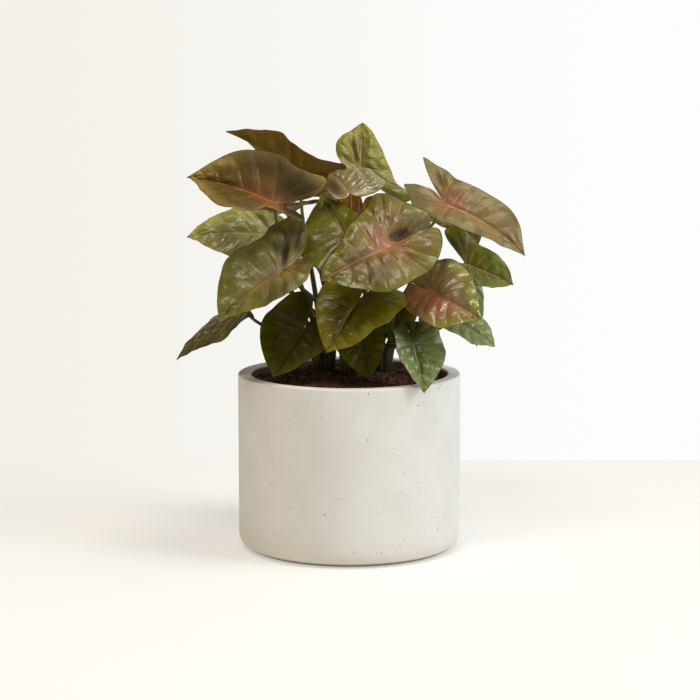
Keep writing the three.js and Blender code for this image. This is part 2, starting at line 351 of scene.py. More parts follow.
@dataclass(frozen=True)
class LeafTone:
    """Colours and gloss of one leaf.

    Colours are display values of 0 to 255: heart is the blade's middle, margin its border,
    blush the tint round the stalk's join, vein the veins, under the lower skin and hollow
    the colour of painted shade that the dents lay on the upper skin. reach is how far the
    blush goes, in millimetres, and warmth how strong it is in the left and the right half.
    rib_warmth is its strength along the midrib, vein_share how much the side veins show,
    rough the roughness, crumple the strength of the fine wrinkles and ior the index of
    refraction.
    """

    heart: Triple
    margin: Triple
    blush: Triple
    vein: Triple
    under: Triple = (104, 84, 26)
    # Colour of the painted shade that the dents lay on the upper skin.
    hollow: Triple = (66, 42, 0)
    reach: float = 24.0
    warmth: Pair = (0.5, 0.5)
    rib_warmth: float = 0.6
    vein_share: float = 0.30
    rough: float = 0.28
    crumple: float = 1.0
    ior: float = 1.45


class Tone(Enum):
    """The plant's leaf tones: young bronze ones, green ones, and two seen from below."""

    # Each tone's hollow colour is painted shade, laid by the dents on the upper skin.
    BRONZE = LeafTone(
        (82, 67, 22), (132, 113, 54), (162, 98, 60), (200, 128, 82), hollow=(44, 34, 0),
        reach=38.0, warmth=(0.6, 0.28), rib_warmth=0.9, vein_share=0.3, crumple=0.5, ior=1.28)
    COPPER = LeafTone(
        (116, 110, 72), (126, 134, 54), (158, 100, 66), (190, 138, 100), reach=60.0,
        warmth=(0.2, 0.9), vein_share=0.4, rough=0.22, crumple=0.5, ior=1.55)
    BLUSHED = LeafTone(
        (102, 91, 40), (96, 93, 12), (164, 106, 78), (192, 138, 104), reach=31.0,
        warmth=(0.5, 0.6), vein_share=0.35, rough=0.27, crumple=0.5)
    ROSE = LeafTone(
        (122, 104, 62), (108, 100, 50), (164, 100, 70), (190, 138, 104), hollow=(88, 72, 24),
        reach=22.0, warmth=(0.55, 0.45), rib_warmth=0.7, vein_share=0.35, rough=0.38,
        crumple=0.3)
    OLIVE = LeafTone(
        (116, 112, 60), (112, 110, 46), (128, 92, 46), (196, 150, 98), hollow=(48, 40, 2),
        reach=44.0, warmth=(0.6, 0.2), rib_warmth=0.9, rough=0.26, crumple=0.7)
    MOSS = LeafTone(
        (82, 75, 4), (114, 102, 12), (92, 70, 6), (126, 112, 40), warmth=(0.2, 0.2),
        rib_warmth=0.3, vein_share=0.25, crumple=0.4, ior=1.33)
    FERN = LeafTone(
        (94, 91, 24), (100, 100, 26), (98, 80, 24), (136, 122, 62), warmth=(0.3, 0.3),
        rib_warmth=0.4, vein_share=0.35, crumple=0.5, ior=1.42)
    LEAF = LeafTone(
        (96, 98, 16), (106, 112, 26), (118, 88, 30), (174, 164, 98), hollow=(66, 62, 0),
        warmth=(0.4, 0.4), rib_warmth=0.5, vein_share=0.5, crumple=0.4)
    DEEP = LeafTone(
        (60, 55, 0), (82, 80, 2), (70, 58, 0), (96, 92, 20), warmth=(0.1, 0.1),
        rib_warmth=0.2, vein_share=0.2, rough=0.42, crumple=0.2, ior=1.28)
    PALE = LeafTone(
        (144, 138, 86), (146, 142, 64), (124, 112, 52), (176, 172, 112), hollow=(66, 60, 14),
        warmth=(0.1, 0.1), rib_warmth=0.3, vein_share=0.4, crumple=1.0)
    LIME = LeafTone(
        (120, 113, 56), (134, 131, 44), (128, 102, 52), (168, 156, 94), hollow=(78, 60, 10),
        warmth=(0.3, 0.0), rib_warmth=0.4, rough=0.32, crumple=0.4)
    BLUE = LeafTone(
        (94, 104, 56), (104, 118, 66), (84, 88, 38), (134, 146, 100), hollow=(66, 60, 0),
        warmth=(0.1, 0.1), rib_warmth=0.2, crumple=0.5)
    SMOKE = LeafTone(
        (134, 142, 86), (132, 142, 84), (112, 108, 58), (162, 168, 118),
        warmth=(0.1, 0.1), rib_warmth=0.2, crumple=0.6)
    TAUPE = LeafTone(
        (92, 86, 46), (88, 84, 42), (110, 86, 40), (144, 124, 84), warmth=(0.2, 0.2),
        crumple=0.6)
    SATIN = LeafTone(
        (132, 124, 92), (136, 130, 92), (138, 102, 62), (150, 116, 70), hollow=(74, 50, 2),
        warmth=(0.15, 0.1), rough=0.24, crumple=0.3, ior=1.65)
    UNDERSIDE = LeafTone(
        (88, 76, 24), (84, 78, 24), (120, 84, 30), (122, 96, 36), under=(120, 94, 0),
        warmth=(0.4, 0.4))
    AMBER = LeafTone(
        (110, 70, 16), (116, 84, 26), (130, 76, 22), (140, 96, 34), under=(158, 110, 8))


@dataclass(frozen=True)
class LeafFinish:
    """Satin leaf skin with veins, a blush round the stalk's join and a thin dark edge.

    Widths and pitches are in millimetres. vein_width and rib_width are those of the drawn
    side veins and midrib, and halo_width and rib_glow how far the blush spreads from them.
    net_pitch is the size of the finest veins' cells and wrinkle_pitch that of the wrinkles.
    deep and high are what the clouds of the upper skin multiply its colour by, and names
    that end in under belong to the lower skin. The upper skin also darkens towards the
    tone's hollow colour where the blade's hollow measure lays painted shade.
    """

    vein_width: float = 0.45
    rib_width: float = 0.6
    rib_glow: float = 5.0
    halo_width: float = 2.6
    edge_width: float = 0.55
    margin_width: float = 14.0
    net_pitch: float = 2.6
    wrinkle_pitch: float = 9.0
    edge_colour: Triple = (44, 36, 10)
    deep: Colour = (0.76, 0.77, 0.66, 1)
    high: Colour = (1.18, 1.18, 1.06, 1)
    deep_under: Colour = (0.76, 0.76, 0.76, 1)
    high_under: Colour = (1.18, 1.14, 1.04, 1)
    rough_under: float = 0.5
    ior_under: float = 1.27

    def vein_map(self, desk: Desk) -> tuple[Signal, Signal]:
        """Where the side veins are.

        Args:
            desk: the material's desk.

        Returns:
            Distance to the nearest side vein in millimetres, and 0 for the left half or 1
            for the right half.
        """
        uv = desk.node("ShaderNodeUVMap", {"uv_map": "veins"})
        split = desk.node("ShaderNodeSeparateXYZ", None, {0: uv.outputs[0]})
        phase, share = (Signal(desk, split.outputs[axis]) for axis in "XY")
        away = (desk.math("FRACT", phase + 0.5) - 0.5).size() * desk.measure("vein_gap")
        return away, share.step(-0.02, 0.02)

    def upper(self, name: str, tone: LeafTone) -> bpy.types.Material:
        """The upper skin.

        Args:
            name: name of the new material.
            tone: the leaf's colours.

        Returns:
            The material.
        """
        desk = Desk(name)
        cloud = desk.noise(15.0, 3.0)
        mottle = desk.noise(4.5, 4.0, 0.6)
        grain = desk.noise(1.2, 3.0, 0.6)
        vein, half = self.vein_map(desk)
        rib = desk.measure("rib_mm")
        edge = desk.measure("edge_mm")
        join = desk.measure("join_mm")
        inwards = (edge + (cloud - 0.5) * 12.0).step(0.0, self.margin_width)
        colour = desk.mix(inwards, srgb(*tone.margin), srgb(*tone.heart))
        shade = desk.mix((mottle * 0.35 + cloud * 0.65).step(0.36, 0.64), self.deep, self.high)
        colour = desk.mix(1.0, colour, shade, "MULTIPLY")
        left, right = tone.warmth
        warmth = half * (right - left) + left
        near = (join + (cloud - 0.5) * 26.0 + (mottle - 0.5) * 10.0).step(
            0.0, tone.reach, 1.0, 0.0)
        along_rib = (rib + (mottle - 0.5) * 5.0).step(0.0, self.rib_glow, 1.0, 0.0)
        along_rib = along_rib * tone.rib_warmth * join.step(10.0, 80.0, 1.0, 0.3)
        glow = near * warmth + along_rib * 0.45
        colour = desk.mix(glow.least(0.9), colour, srgb(*tone.blush))
        fade = join.step(4.0, 50.0, 1.0, 0.25) * (mottle.step(0.38, 0.62) * 0.75 + 0.25)
        halo = vein.step(0.0, self.halo_width, 1.0, 0.0) * fade * warmth
        colour = desk.mix(halo * 0.4, colour, srgb(*tone.blush))
        lines = vein.step(self.vein_width * 0.2, self.vein_width, 1.0, 0.0)
        lines = lines * fade * edge.step(1.0, 8.0) * tone.vein_share * 1.9
        ridge = rib.step(0.1, self.rib_width, 1.0, 0.0) * 0.8
        ridge = ridge * join.step(10.0, 80.0, 1.0, 0.4)
        colour = desk.mix(lines.most(ridge), colour, srgb(*tone.vein))
        cells = desk.cells(self.net_pitch, "DISTANCE_TO_EDGE")
        net = Signal(desk, cells.outputs["Distance"])
        fine = net.step(0.0, 0.12, 1.0, 0.0) * 0.10
        colour = desk.mix(fine, colour, srgb(*tone.vein))
        # Painted shade: the hollow measure darkens the colour towards the tone's hollow colour.
        hollow = desk.measure("hollow")
        colour = desk.mix(hollow, colour, srgb(*tone.hollow))
        colour = desk.mix(
            edge.step(self.edge_width * 0.3, self.edge_width, 0.8, 0.0), colour,
            srgb(*self.edge_colour))
        relief = desk.bump(grain, 0.25, 0.12)
        relief = desk.bump(net.step(0.0, 0.25), 0.35, 0.12, relief)
        relief = desk.bump(mottle, 0.12, 0.7, relief)
        wrinkles = desk.noise(self.wrinkle_pitch, 1.0, 0.4, drift=0.8)
        relief = desk.bump(wrinkles, 0.5, tone.crumple, relief)
        return desk.finish({
            "Base Color": colour,
            "Roughness": (
                (grain - 0.5) * 0.15 + (cloud - 0.5) * 0.25 + hollow * 0.4 + tone.rough),
            "Normal": relief,
            "IOR": tone.ior,
        })

    def lower(self, name: str, tone: LeafTone) -> bpy.types.Material:
        """The matt lower skin, with paler raised veins.

        Args:
            name: name of the new material.
            tone: the leaf's colours.

        Returns:
            The material.
        """
        desk = Desk(name)
        cloud = desk.noise(14.0, 3.0)
        grain = desk.noise(1.2, 3.0, 0.6)
        vein, _ = self.vein_map(desk)
        rib = desk.measure("rib_mm")
        edge = desk.measure("edge_mm")
        shade = desk.mix(cloud.step(0.3, 0.7), self.deep_under, self.high_under)
        colour = desk.mix(1.0, srgb(*tone.under), shade, "MULTIPLY")
        lines = vein.step(0.3, 1.1, 1.0, 0.0) * edge.step(1.0, 9.0) * 0.4
        lines = lines.most(rib.step(0.8, 1.9, 1.0, 0.0) * 0.7)
        colour = desk.mix(lines, colour, srgb(*tone.vein))
        colour = desk.mix(edge.step(0.2, 0.6, 0.6, 0.0), colour, srgb(*self.edge_colour))
        return desk.finish({
            "Base Color": colour,
            "Roughness": (grain - 0.5) * 0.16 + self.rough_under,
            "Normal": desk.bump(grain, 0.25, 0.12),
            "IOR": self.ior_under,
        })


class StalkTone(Enum):
    """Display colours of a leaf stalk at its foot and at its blade."""

    SHEATH = ((66, 74, 26), (78, 88, 36))
    DARK = ((58, 64, 26), (70, 66, 36))
    OLIVE = ((64, 70, 24), (104, 84, 40))
    LIME = ((74, 82, 28), (132, 120, 56))
    TAN = ((74, 76, 28), (168, 116, 64))
    RUSSET = ((70, 62, 22), (156, 96, 36))


@dataclass(frozen=True)
class StalkFinish:
    """Satin leaf stalk, green at its foot and warmer towards the blade.

    deep and high are what the streaks multiply the colour by.
    """

    foot: Triple
    top: Triple
    rough: float = 0.42
    ior: float = 1.45
    deep: Colour = (0.78, 0.80, 0.78, 1)
    high: Colour = (1.16, 1.12, 1.1, 1)

    def material(self, name: str) -> bpy.types.Material:
        """The stalk's material.

        Args:
            name: name of the new material.

        Returns:
            The material.
        """
        desk = Desk(name)
        run = desk.measure("run")
        streak = desk.noise(2.2, 3.0, 0.6, drift=0.6)
        cloud = desk.noise(12.0, 2.0)
        colour = desk.mix(
            (run + (cloud - 0.5) * 0.5).step(0.1, 0.85), srgb(*self.foot), srgb(*self.top))
        shade = desk.mix(streak.step(0.3, 0.7), self.deep, self.high)
        return desk.finish({
            "Base Color": desk.mix(1.0, colour, shade, "MULTIPLY"),
            "Roughness": (streak - 0.5) * 0.2 + self.rough,
            "Normal": desk.bump(streak, 0.3, 0.15),
            "IOR": self.ior,
        })


@dataclass(frozen=True)
class ClayFinish:
    """Matt off-white fired clay with sparse dark specks and pinholes.

    The colours are display values: body of the wall, rim of its top with painted light that
    makes the top lighter than the wall, foot of its lowest part, contact_shadow a painted
    contact shadow along the line where it meets what it stands on, and inner_shade painted
    shade that darkens the inner wall. The bands are heights in millimetres where a colour
    fades out, and inner is the inner wall's radius. deep and high are what the clouds
    multiply the colour by. LARGE, SMALL and PITS are what the specks method takes: pitch,
    share and radius.
    """

    body: Triple = (225, 222, 215)
    rim: Triple = (248, 244, 234)
    speck: Triple = (96, 84, 70)
    foot: Triple = (214, 204, 184)
    inner_shade: Triple = (84, 60, 44)
    contact_shadow: Triple = (86, 64, 22)
    foot_band: Pair = (0.0, 26.0)
    contact_shadow_band: Pair = (1.4, 5.0)
    lit_rim_band: Pair = (141.0, 141.7)
    inner_shade_band: Pair = (139.6, 141.2)
    inner: float = 79.5
    rough: float = 0.72
    ior: float = 1.45
    deep: Colour = (0.955, 0.95, 0.935, 1)
    high: Colour = (1.02, 1.02, 1.02, 1)

    LARGE = (8.0, 0.40, 0.85)
    SMALL = (3.6, 0.24, 0.62)
    PITS = (4.0, 0.25, 0.6)

    def specks(self, desk: Desk, pitch: float, share: float, radius: float) -> Signal:
        """Round spots in some of the cells of a random grid.

        Args:
            desk: the material's desk.
            pitch: distance between cells, in millimetres.
            share: share of the cells that hold a spot.
            radius: largest radius of a spot, in millimetres.

        Returns:
            1 inside a spot and 0 outside.
        """
        cells = desk.cells(pitch)
        tint = desk.node("ShaderNodeSeparateColor", None, {0: cells.outputs["Color"]})
        pick = Signal(desk, tint.outputs[0]).step(1.0 - share, 1.0 - share + 0.01)
        grow = Signal(desk, tint.outputs[1]) * 0.7 + 0.3
        away = Signal(desk, cells.outputs["Distance"]) * pitch
        return (away / (grow * radius)).step(0.6, 1.0, 1.0, 0.0) * pick

    def material(self, name: str) -> bpy.types.Material:
        """The pot's material.

        Args:
            name: name of the new material.

        Returns:
            The material.
        """
        desk = Desk(name)
        height = desk.height()
        cloud = desk.noise(38.0, 4.0, 0.6)
        grain = desk.noise(0.9, 3.0, 0.65)
        shade = desk.mix(cloud.step(0.3, 0.7), self.deep, self.high)
        colour = desk.mix(1.0, srgb(*self.body), shade, "MULTIPLY")
        colour = desk.mix(height.step(*self.foot_band, 0.55, 0.0), colour, srgb(*self.foot))
        # Painted contact shadow: a dark line along the foot where the pot meets the floor.
        colour = desk.mix(height.step(*self.contact_shadow_band, 0.92, 0.0), colour, srgb(*self.contact_shadow))
        # Painted light: the top of the rim is lighter than the wall.
        colour = desk.mix(height.step(*self.lit_rim_band), colour, srgb(*self.rim))
        # Painted shade: the inner wall below the rim is darkened.
        inside = desk.reach().step(self.inner + 0.1, self.inner + 0.6, 1.0, 0.0)
        shade_below_rim = (height + (cloud - 0.5) * 3.0).step(*self.inner_shade_band, 0.94, 0.0)
        colour = desk.mix(inside * shade_below_rim, colour, srgb(*self.inner_shade))
        specks = self.specks(desk, *self.LARGE).most(self.specks(desk, *self.SMALL))
        colour = desk.mix(specks * 0.8, colour, srgb(*self.speck))
        pits = self.specks(desk, *self.PITS)
        relief = desk.bump(grain, 0.35, 0.16)
        relief = desk.bump(1.0 - specks.most(pits), 0.6, 0.35, relief)
        return desk.finish({
            "Base Color": colour,
            "Roughness": (grain - 0.5) * 0.2 + self.rough,
            "Normal": relief,
            "IOR": self.ior,
        })


@dataclass(frozen=True)
class MixFinish:
    """Dark damp peat or fibre, clouded between a dark and a light display colour."""

    dark: Triple = (72, 45, 31)
    light: Triple = (142, 92, 66)
    rough: float = 0.85
    ior: float = 1.35

    def material(self, name: str) -> bpy.types.Material:
        """The mix's material.

        Args:
            name: name of the new material.

        Returns:
            The material.
        """
        desk = Desk(name)
        clump = desk.noise(3.2, 4.0, 0.65)
        grain = desk.noise(0.7, 3.0, 0.7)
        colour = desk.mix(
            (clump * 0.65 + grain * 0.35).step(0.40, 0.66), srgb(*self.dark), srgb(*self.light))
        return desk.finish({
            "Base Color": colour,
            "Roughness": (grain - 0.5) * 0.2 + self.rough,
            "Normal": desk.bump(clump * 0.5 + grain * 0.5, 0.8, 1.0),
            "IOR": self.ior,
        })


@dataclass(frozen=True)
class FloorFinish:
    """Plain pale matt floor that glows a little, which keeps the shadow on it light."""

    colour: Triple = (188, 187, 184)
    glow: Triple = (255, 252, 247)
    strength: float = 0.475
    rough: float = 0.9
    ior: float = 1.3
    specular: float = 0.1

    def material(self, name: str) -> bpy.types.Material:
        """The floor's material.

        Args:
            name: name of the new material.

        Returns:
            The material.
        """
        desk = Desk(name)
        return desk.finish({
            "Base Color": srgb(*self.colour), "Roughness": self.rough, "IOR": self.ior,
            "Specular IOR Level": self.specular, "Emission Color": srgb(*self.glow),
            "Emission Strength": self.strength})


# ---- mesh helpers ------------------------------------------------------------------------


def link(name: str, mesh: bpy.types.Mesh) -> bpy.types.Object:
    """Put a mesh into the scene's collection.

    Args:
        name: name of the new object.
        mesh: its mesh.

    Returns:
        The object.
    """
    made = bpy.data.objects.new(name, mesh)
    bpy.context.scene.collection.objects.link(made)
    return made


def skin(
    name: str,
    points: Array,
    triangles: Array,
    materials: Sequence[bpy.types.Material],
    index: Array | None = None,
    uv: Array | None = None,
    measures: dict[str, Array] | None = None,
) -> bpy.types.Mesh:
    """A smooth mesh from arrays.

    Args:
        name: name of the mesh.
        points: corners in millimetres, one row each.
        triangles: three corner numbers in each row.
        materials: the mesh's materials.
        index: material number of each triangle.
        uv: map position of each triangle's corners, kept as the map "veins".
        measures: attribute name to one number for each corner.

    Returns:
        The mesh.
    """
    mesh = bpy.data.meshes.new(name)
    mesh.vertices.add(len(points))
    mesh.vertices.foreach_set("co", (np.asarray(points) * MM).astype(np.float32).ravel())
    mesh.loops.add(3 * len(triangles))
    mesh.loops.foreach_set("vertex_index", np.asarray(triangles, np.int32).ravel())
    mesh.polygons.add(len(triangles))
    mesh.polygons.foreach_set("loop_start", np.arange(0, 3 * len(triangles), 3, dtype=np.int32))
    for material in materials:
        mesh.materials.append(material)
    if index is not None:
        mesh.polygons.foreach_set("material_index", np.asarray(index, np.int32))
    mesh.update(calc_edges=True)
    if uv is not None:
        layer = mesh.uv_layers.new(name="veins")
        layer.uv.foreach_set("vector", np.asarray(uv, np.float32).ravel())
    for key, values in (measures or {}).items():
        attribute = mesh.attributes.new(key, "FLOAT", "POINT")
        attribute.data.foreach_set("value", np.asarray(values, np.float32).ravel())
    mesh.validate()
    mesh.shade_smooth()
    return mesh


def weld(points: Array, triangles: Array) -> tuple[Array, Array, Array, Array]:
    """Join corners that share a place and drop triangles that collapse.

    Args:
        points: corners in millimetres.
        triangles: corner numbers.

    Returns:
        The joined corners, the kept triangles, which old corner each new one keeps, and
        which triangles were kept.
    """
    keys = np.round(points, 4)
    _, first, place = np.unique(keys, axis=0, return_index=True, return_inverse=True)
    joined = place.reshape(-1)[triangles]
    kept = (
        (joined[:, 0] != joined[:, 1])
        & (joined[:, 1] != joined[:, 2])
        & (joined[:, 0] != joined[:, 2]))
    return points[first], joined[kept], first, kept


def grid_triangles(rows: int, columns: int) -> Array:
    """Triangles of a grid of corners, counted row by row.

    Args:
        rows: how many rows of corners there are.
        columns: how many corners a row has.

    Returns:
        Three corner numbers for each triangle.
    """
    corner = np.arange(rows * columns).reshape(rows, columns)
    a, b = corner[:-1, :-1].ravel(), corner[:-1, 1:].ravel()
    c, d = corner[1:, :-1].ravel(), corner[1:, 1:].ravel()
    return np.concatenate([np.stack([a, b, d], 1), np.stack([a, d, c], 1)])


def enclosed(corners: Array, triangles: Array) -> float:
    """How much a closed skin holds.

    Args:
        corners: corners in millimetres.
        triangles: corner numbers.

    Returns:
        Six times the volume, negative where the skin is inside out.
    """
    first, second, third = (corners[triangles[:, k]] for k in range(3))
    return float(np.einsum("ij,ij->", first, np.cross(second, third)))


def outward(corners: Array, triangles: Array) -> Array:
    """The triangles of a closed skin, turned so that they face outwards."""
    return triangles if enclosed(corners, triangles) > 0 else triangles[:, ::-1]


class NodeSheet(NodeBoard):
    """A geometry node tree with named inputs, which is run on a mesh."""

    def __init__(self, name: str) -> None:
        """Start a tree with a geometry input and a geometry output.

        Args:
            name: the tree's name.
        """
        self.tree = bpy.data.node_groups.new(name, "GeometryNodeTree")
        self.tree.interface.new_socket(
            name="Geometry", in_out="INPUT", socket_type="NodeSocketGeometry")
        self.tree.interface.new_socket(
            name="Geometry", in_out="OUTPUT", socket_type="NodeSocketGeometry")
        self.given = self.tree.nodes.new("NodeGroupInput")

    def input(self, name: str, kind: str, default: Any = None) -> bpy.types.NodeSocket:
        """Add a named input.

        Args:
            name: the input's name.
            kind: Blender's name for its socket type.
            default: its value where the modifier sets none.

        Returns:
            The socket that gives the input's value inside the tree.
        """
        made = self.tree.interface.new_socket(name=name, in_out="INPUT", socket_type=kind)
        if default is not None:
            made.default_value = default
        return self.given.outputs[name]

    def close(self, geometry: Any, finish: Any) -> bpy.types.NodeTree:
        """End the tree with real geometry that has a material.

        Args:
            geometry: the socket to end with.
            finish: the socket that gives the material.

        Returns:
            The tree.
        """
        real = self.node("GeometryNodeRealizeInstances", None, {0: geometry})
        dressed = self.node(
            "GeometryNodeSetMaterial", None, {"Geometry": real.outputs[0], "Material": finish})
        self.node("NodeGroupOutput", None, {0: dressed.outputs[0]})
        return self.tree

    def run(self, name: str, mesh: bpy.types.Mesh, values: dict[str, Any]) -> bpy.types.Mesh:
        """Run the tree on a mesh and keep the result as a plain mesh.

        Args:
            name: name of the result.
            mesh: the mesh that goes in.
            values: input name to its value.

        Returns:
            The result.
        """
        bench = link(name + "_bench", mesh)
        modifier = bench.modifiers.new("shape", "NODES")
        modifier.node_group = self.tree
        for item in self.tree.interface.items_tree:
            if item.in_out == "INPUT" and item.name in values:
                modifier[item.identifier] = values[item.name]
        bench.update_tag()
        depsgraph = bpy.context.evaluated_depsgraph_get()
        result = bpy.data.meshes.new_from_object(bench.evaluated_get(depsgraph))
        result.name = name
        bench.modifiers.remove(modifier)
        bpy.data.objects.remove(bench)
        return result


# ---- leaves ------------------------------------------------------------------------------


@dataclass(frozen=True)
class Dent:
    """A smooth swelling, or a hollow where lift is negative, in millimetres.

    across and along say where it is, and wide and long how far it reaches. lean turns its
    long side away from the midrib, in degrees. shade is how dark the painted shade at its
    middle is, and crisp how sharply that painted shade ends, from 0 to 1. side is -1 or 1
    for a dent that stays in one half.
    """

    across: float
    along: float
    wide: float
    long: float
    lift: float
    lean: float = 0.0
    shade: float = 0.0
    side: int = 0
    crisp: float = 0.0

    def weight(self, across: Array, along: Array) -> Array:
        """How much of the dent is at some points of the blade.

        Args:
            across: distance of each point from the midrib, left negative.
            along: distance of each point from the join along the midrib.

        Returns:
            The share of the dent's lift there, from 0 to 1.
        """
        inside = 1.0
        if self.side:
            away = np.maximum(0.0, across * self.side) + np.maximum(0.0, -along)
            inside = np.where(across * self.side > 0, smooth(away, 0.0, 4.0), 0.0)
        turn = math.radians(self.lean)
        out, ahead = across - self.across, along - self.along
        side = out * math.cos(turn) - ahead * math.sin(turn)
        run = out * math.sin(turn) + ahead * math.cos(turn)
        return inside * np.exp(-((side / self.wide) ** 2) - (run / self.long) ** 2)


@dataclass
class Leaf:
    """One leaf: where its blade and stalk are, in millimetres and degrees, and its looks.

    The blade lies between its join and its tip. facing is the direction of its upper side:
    degrees round from the front, degrees above level. Pairs are for the left and the right
    half, seen along the midrib from the join. root is the side of the stem where the stalk
    stands, and reach how far the stalk keeps its direction: at its foot as a share of its
    length, at its join in millimetres.

    fold turns both halves up along the midrib, cup turns them further towards their edges,
    and droop bends the midrib down. lobes is how far the lobes reach back, as a share of
    the midrib, lobe_bend bends them and splay spreads them. sinus moves the edge between
    the lobes outwards, and sinus_gap is the least it stays off the middle. breadth scales
    each half, fullness rounds its shoulders, and swell gives places along the midrib and
    the share that the half grows by there. wave and phase are the border's ripple, and
    quilt how much the skin swells between the veins.
    """

    name: str
    join: Triple
    tip: Triple
    facing: Pair
    root: float
    half_width: float
    fold: float = 12.0
    cup: float = -20.0
    droop: float = 25.0
    lobes: Pair = (0.5, 0.5)
    lobe_bend: float = 20.0
    splay: Pair = (0.0, 0.0)
    sinus: Pair = (0.0, 0.0)
    breadth: Pair = (1.0, 1.0)
    fullness: float = 0.05
    swell: tuple[Sequence[Pair], Sequence[Pair]] = ((), ())
    wave: float = 1.5
    phase: float = 0.0
    reach: Pair = (0.45, 30.0)
    tone: Tone = Tone.MOSS
    stalk: StalkTone = StalkTone.OLIVE
    quilt: float = 1.0
    sinus_gap: float = 0.02
    dents: Sequence[Dent] = ()


class BladeSurface:
    """The curved sheet that a blade follows.

    RIPPLES is how many waves each half's border makes, and SIDE_SHIFT how far those of the
    right half are ahead, as a share of a wave.
    """

    RIPPLES = 1.6
    SIDE_SHIFT = 0.37

    def __init__(self, leaf: Leaf) -> None:
        """Work out the blade's directions and bends.

        Args:
            leaf: the leaf that the blade belongs to.
        """
        self.leaf = leaf
        self.join = np.array(leaf.join, float)
        ahead = np.array(leaf.tip, float) - self.join
        chord = float(np.linalg.norm(ahead))
        self.ahead = unit(ahead)
        turn, rise = (math.radians(value) for value in leaf.facing)
        up = np.array([
            math.sin(turn) * math.cos(rise), -math.cos(turn) * math.cos(rise), math.sin(rise)])
        self.up = unit(up - up.dot(self.ahead) * self.ahead)
        self.right = np.cross(self.ahead, self.up)
        self.arc = math.radians(leaf.droop)
        self.midrib = chord * self.arc / 2 / math.sin(self.arc / 2)
        self.bend = self.arc / self.midrib
        self.lobe_bend = math.radians(leaf.lobe_bend) / (max(leaf.lobes) * self.midrib)

    def place(self, across: Array, along: Array, height: Array) -> Array:
        """Points on or over the sheet.

        Args:
            across: distance from the midrib, left negative.
            along: distance from the join along the midrib.
            height: distance over the sheet.

        Returns:
            The points, in millimetres in the frame.
        """
        leaf = self.leaf
        side = np.where(across < 0, -1.0, 1.0)
        off = np.abs(across)
        rate = np.where(along >= 0, self.bend, self.lobe_bend)
        slope = self.arc / 2 - rate * along
        forward = (math.sin(self.arc / 2) - np.sin(slope)) / rate
        rise = (np.cos(slope) - math.cos(self.arc / 2)) / rate
        fold = math.radians(leaf.fold)
        cup = math.radians(leaf.cup) / leaf.half_width
        lean = fold + cup * off
        outward = (np.sin(lean) - math.sin(fold)) / cup
        turns = self.RIPPLES * along / self.midrib + leaf.phase + self.SIDE_SHIFT * side
        ripple = (off / leaf.half_width) ** 2 * np.sin(2 * math.pi * turns)
        lift = (math.cos(fold) - np.cos(lean)) / cup + leaf.wave * ripple
        normal = (
            np.cos(slope)[..., None] * self.up - np.sin(slope)[..., None] * self.ahead)
        return (
            self.join
            + forward[..., None] * self.ahead
            + rise[..., None] * self.up
            + (side * (outward - np.sin(lean) * height))[..., None] * self.right
            + (lift + np.cos(lean) * height)[..., None] * normal)


